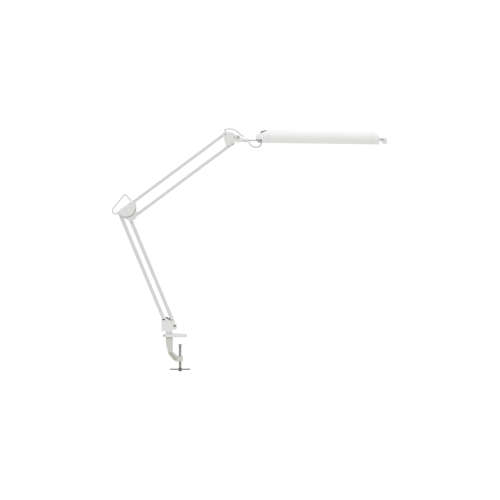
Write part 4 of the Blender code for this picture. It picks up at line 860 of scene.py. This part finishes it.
def make_rod():
    """The head's rod, its collar with a set screw, and the block that holds it."""
    axis = HEAD @ Matrix.Translation((0, 0, ROD_DROP)) @ AXIS_X
    profile = [(0, 75.0), (3.0, 75.0), (3.4, 74.6), (3.4, 13.4), (3.0, 13.0), (0, 13.0)]
    finish_piece("bright_rod", turned(profile, 40), STEEL, "head", "head_rod", slot="bright_steel", where=axis)
    profile = [(3.7, 34.2), (6.2, 34.2), (7.0, 33.4), (7.0, 30.6), (6.5, 30.2), (6.5, 29.6), (7.0, 29.2),
               (7.0, 24.4), (6.4, 23.8), (3.7, 23.8), (3.7, 34.2)]
    finish_piece("stop_collar", turned(profile, 48), ENAMEL, "head", "rod_collar", slot="white_enamel",
                 where=axis)
    socket = [(0, 0.1), (1.1, 0.1), (1.1, 0.5), (1.6, 0.5), (1.6, -1.0), (0, -1.0)]
    finish_piece("collar_set_screw", turned(socket, 24), DARK_STEEL_AND_RECESS_SHADE, "head", slot="dark_steel",
                 where=HEAD @ Matrix.Translation((27.0, 0, ROD_DROP - 6.9)) @ Matrix.Rotation(math.pi, 4, "X"))
    low, high = Vector((67.0, -9.0, HEAD_BOTTOM - 0.3)), Vector((82.0, 9.0, -5.7))
    housing = soften(block(low, high), 1.4, 4)
    lip = soften(block((66.2, -6.0, ROD_DROP - 6.0), (68.0, 6.0, ROD_DROP + 3.2)), 0.7, 3)
    finish_piece("rod_block", joined(housing, lip), NYLON, "head", "swivel_block", slot="grey_plastic",
                 where=HEAD)


# ================================================================== head
def arch(steps=24):
    """The head's section in Y and Z: straight sides and a domed top."""
    spring = HEAD_BOTTOM + HEAD_SIDE
    rise = HEAD_TOP - spring
    points = []
    for step in range(2 * steps + 1):
        turn = math.pi * step / (2 * steps)
        across = math.copysign(abs(math.cos(turn)) ** (2 / 2.3), math.cos(turn))
        points.append((HEAD_HALF * across, spring + rise * abs(math.sin(turn)) ** (2 / 2.3)))
    return [(HEAD_HALF, HEAD_BOTTOM), *points, (-HEAD_HALF, HEAD_BOTTOM)]


def drawn_sheet(section, start, end, thickness):
    """A folded sheet: an open section in Y and Z drawn along X, with its wall grown inwards."""
    bm = bmesh.new()
    row = [bm.verts.new((start, y, z)) for y, z in section]
    edges = [bm.edges.new(pair) for pair in zip(row, row[1:])]
    grown = bmesh.ops.extrude_edge_only(bm, edges=edges)["geom"]
    bmesh.ops.translate(bm, verts=[v for v in grown if isinstance(v, bmesh.types.BMVert)],
                        vec=(end - start, 0, 0))
    bmesh.ops.recalc_face_normals(bm, faces=bm.faces)
    top = max(bm.faces, key=lambda face: face.calc_center_median().z)
    if top.normal.z < 0:
        bmesh.ops.reverse_faces(bm, faces=bm.faces)
    bmesh.ops.solidify(bm, geom=bm.faces, thickness=thickness)
    return bm


def make_shade():
    """The folded shade with a hem along each lower edge."""
    section = arch()
    hem = [(HEAD_HALF - 3.4, HEAD_BOTTOM + 2.4), (HEAD_HALF - 3.2, HEAD_BOTTOM + 0.5),
           (HEAD_HALF - 2.2, HEAD_BOTTOM)]
    section = hem + section + [(-y, z) for y, z in reversed(hem)]
    shade = drawn_sheet(section, SHADE_START, SHADE_END, 1.2)
    finish_piece("folded_shade", shade, ENAMEL, "head", "shade_shell", slot="white_enamel", where=HEAD,
                 sharp=25)


def make_caps():
    """The two moulded end caps and the finger grip."""
    finish_piece("switch_end_cap", soften(copy_of("left_end_cap"), 0.9, 3), PLASTIC, "head", "left_end_cap",
                 slot="white_plastic")
    finish_piece("far_end_cap", soften(copy_of("right_end_cap"), 0.9, 3), PLASTIC, "head", "right_end_cap",
                 slot="white_plastic")
    finish_piece("moulded_grip", soften(copy_of("finger_grip"), 1.2, 3), PLASTIC, "head", "finger_grip",
                 slot="white_plastic")
    # painted shade: a grey panel across the grip where its slot lies in shadow
    slot_shade = outline_bar(rounded([(483.8, -2.8, 1.4), (495.2, -3.2, 1.4), (495.2, 1.2, 1.4),
                                  (483.8, 1.8, 1.4)]),
                         -18.15, 18.15)
    finish_piece("grip_slot_shade", soften(slot_shade, 0.1, 2), SHADE_GREY, "head", slot="grey_plastic", where=HEAD)


def make_light():
    """The folded reflector, the twin tube in its base and holder, and the ballast above."""
    half = HEAD_HALF
    section = [(half - 2.2, -14.2), (half - 3.0, -13.5), (half - 4.5, -6.0), (half - 6.5, 0.5),
               (half - 12.0, 5.0), (13.0, 8.0)]
    section += [(-y, z) for y, z in reversed(section)]
    finish_piece("folded_reflector", drawn_sheet(section, LAMP_BASE, LAMP_END + 8.0, 0.8), REFLECTOR, "head",
                 "reflector", slot="reflector_sheet", where=HEAD, sharp=15)
    low = LAMP_HEIGHT - LAMP_RADIUS
    bend = LAMP_END - LAMP_RADIUS - LAMP_SIDE
    turns = [i * math.pi / 20 for i in range(21)]
    route = [Vector((LIMB_START, -LAMP_SIDE, LAMP_HEIGHT))]
    route += [Vector((bend + LAMP_SIDE * math.sin(turn), -LAMP_SIDE * math.cos(turn),
                      LAMP_HEIGHT)) for turn in turns]
    route += [Vector((LIMB_START, LAMP_SIDE, LAMP_HEIGHT))]
    tube = round_bar("twin_tube", [HEAD @ point for point in route], LAMP_RADIUS, GLASS, "lamp_glass",
                     "lamp_tube")
    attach(tube, "head")
    base = soften(block((LAMP_BASE, -17.5, low - 0.8), (LAMP_BASE_END, 17.5, 3.0)), 1.6, 4)
    fins = [soften(block((x, -17.8, low + 1.0), (x + 0.9, 17.8, 1.6)), 0.3, 2) for x in (116.0, 119.0, 122.0,
                                                                                         125.0)]
    finish_piece("tube_base", joined(base, *fins), PLASTIC, "head", "lamp_base", slot="white_plastic",
                 where=HEAD)
    socket = soften(block((104.5, -18.5, low - 1.8), (112.6, 18.5, 4.0)), 1.2, 4)
    clip = soften(block((106.0, -6.0, low - 2.6), (116.0, 6.0, low - 1.2)), 0.5, 3)
    finish_piece("tube_holder", joined(socket, clip), PLASTIC, "head", "lamp_holder", slot="white_plastic",
                 where=HEAD)
    laminations = [block((x, -15.4, 10.1), (x + 1.6, 15.4, 19.4)) for x in range(196, 312, 3)]
    feet = [soften(block((x, -16.0, 9.8), (x + 5.0, 16.0, 11.4)), 0.4, 2) for x in (190.0, 315.0)]
    core = block((196.0, -15.0, 10.4), (313.0, 15.0, 19.0))
    finish_piece("laminated_ballast", joined(core, *laminations, *feet), DARK_STEEL_AND_RECESS_SHADE, "head", "ballast",
                 slot="bright_steel", where=HEAD)


def make_switch():
    """The rocker switch on the sloping end."""
    finish_piece("switch_bezel", soften(copy_of("switch_housing"), 0.3, 2), BEZEL, "head", "switch_housing",
                 slot="grey_plastic")
    finish_piece("rocker_lens", soften(copy_of("rocker"), 0.5, 3), LENS, "rocker", "rocker", slot="amber_lens")


# ================================================================== studio
def make_floor():
    """A plain pale floor well below the clamp."""
    bm = bmesh.new()
    bmesh.ops.create_grid(bm, x_segments=1, y_segments=1, size=14.0)
    mesh = bpy.data.meshes.new("floor")
    bm.to_mesh(mesh)
    bm.free()
    floor = bpy.data.objects.new("floor", mesh)
    floor.location = (0, 0, -0.95)
    bpy.context.scene.collection.objects.link(floor)
    paint, _, shader, _ = new_finish("floor_paint", Roughness=0.9, Specular_IOR_Level=0.1)
    shader.inputs["Base Color"].default_value = linear("#fbfbfb")
    mesh.materials.append(paint)
    floor.visible_diffuse = False
    floor.visible_glossy = False


def make_lights():
    """Soft surroundings, brighter above than below, and a faint broad light from overhead."""
    world = bpy.data.worlds.new("studio")
    bpy.context.scene.world = world
    world.use_nodes = True
    tree = world.node_tree
    backdrop = tree.nodes["Background"]
    backdrop.inputs["Color"].default_value = (1, 1, 1, 1)
    seen = put(tree, "ShaderNodeLightPath")
    way = put(tree, "ShaderNodeTexCoord")
    height = put(tree, "ShaderNodeSeparateXYZ", {}, {"Vector": way.outputs["Generated"]})
    soft = put(tree, "ShaderNodeMapRange", {"From Min": -1.0, "To Min": 0.62, "To Max": 1.17},
               {"Value": height.outputs["Z"]})
    strength = put(tree, "ShaderNodeMix", {3: 1.05}, {0: seen.outputs["Is Camera Ray"],
                                                      2: soft.outputs["Result"]})
    tree.links.new(strength.outputs[0], backdrop.inputs["Strength"])
    key = bpy.data.lights.new("overhead", "SUN")
    key.energy = 0.35
    key.angle = math.radians(50)
    key.specular_factor = 0.3
    lamp = bpy.data.objects.new("overhead", key)
    lamp.rotation_euler = (math.radians(14), math.radians(-6), 0)
    bpy.context.scene.collection.objects.link(lamp)


def make_camera():
    """A long lens, almost level with the lamp and square to its arms."""
    lens = bpy.data.cameras.new("camera")
    distance = 12.0
    field = 1.7
    lens.lens = lens.sensor_width * distance / field
    lens.clip_end = 60
    camera = bpy.data.objects.new("camera", lens)
    rise = math.radians(4.5)
    aim = Vector((0.2382, 0, 0.2975))
    camera.location = aim + Vector((0, -distance * math.cos(rise), distance * math.sin(rise)))
    camera.rotation_euler = (math.pi / 2 - rise, 0, 0)
    bpy.context.scene.collection.objects.link(camera)
    bpy.context.scene.camera = camera
    bpy.context.scene.view_settings.view_transform = "Standard"


refinish_nodes()
make_clamp()
make_screw()
make_lock_screw()
make_swivel()
make_arms()
make_elbow()
make_cables()
make_knuckle()
make_rod()
make_shade()
make_caps()
make_light()
make_switch()
make_floor()
make_lights()
make_camera()
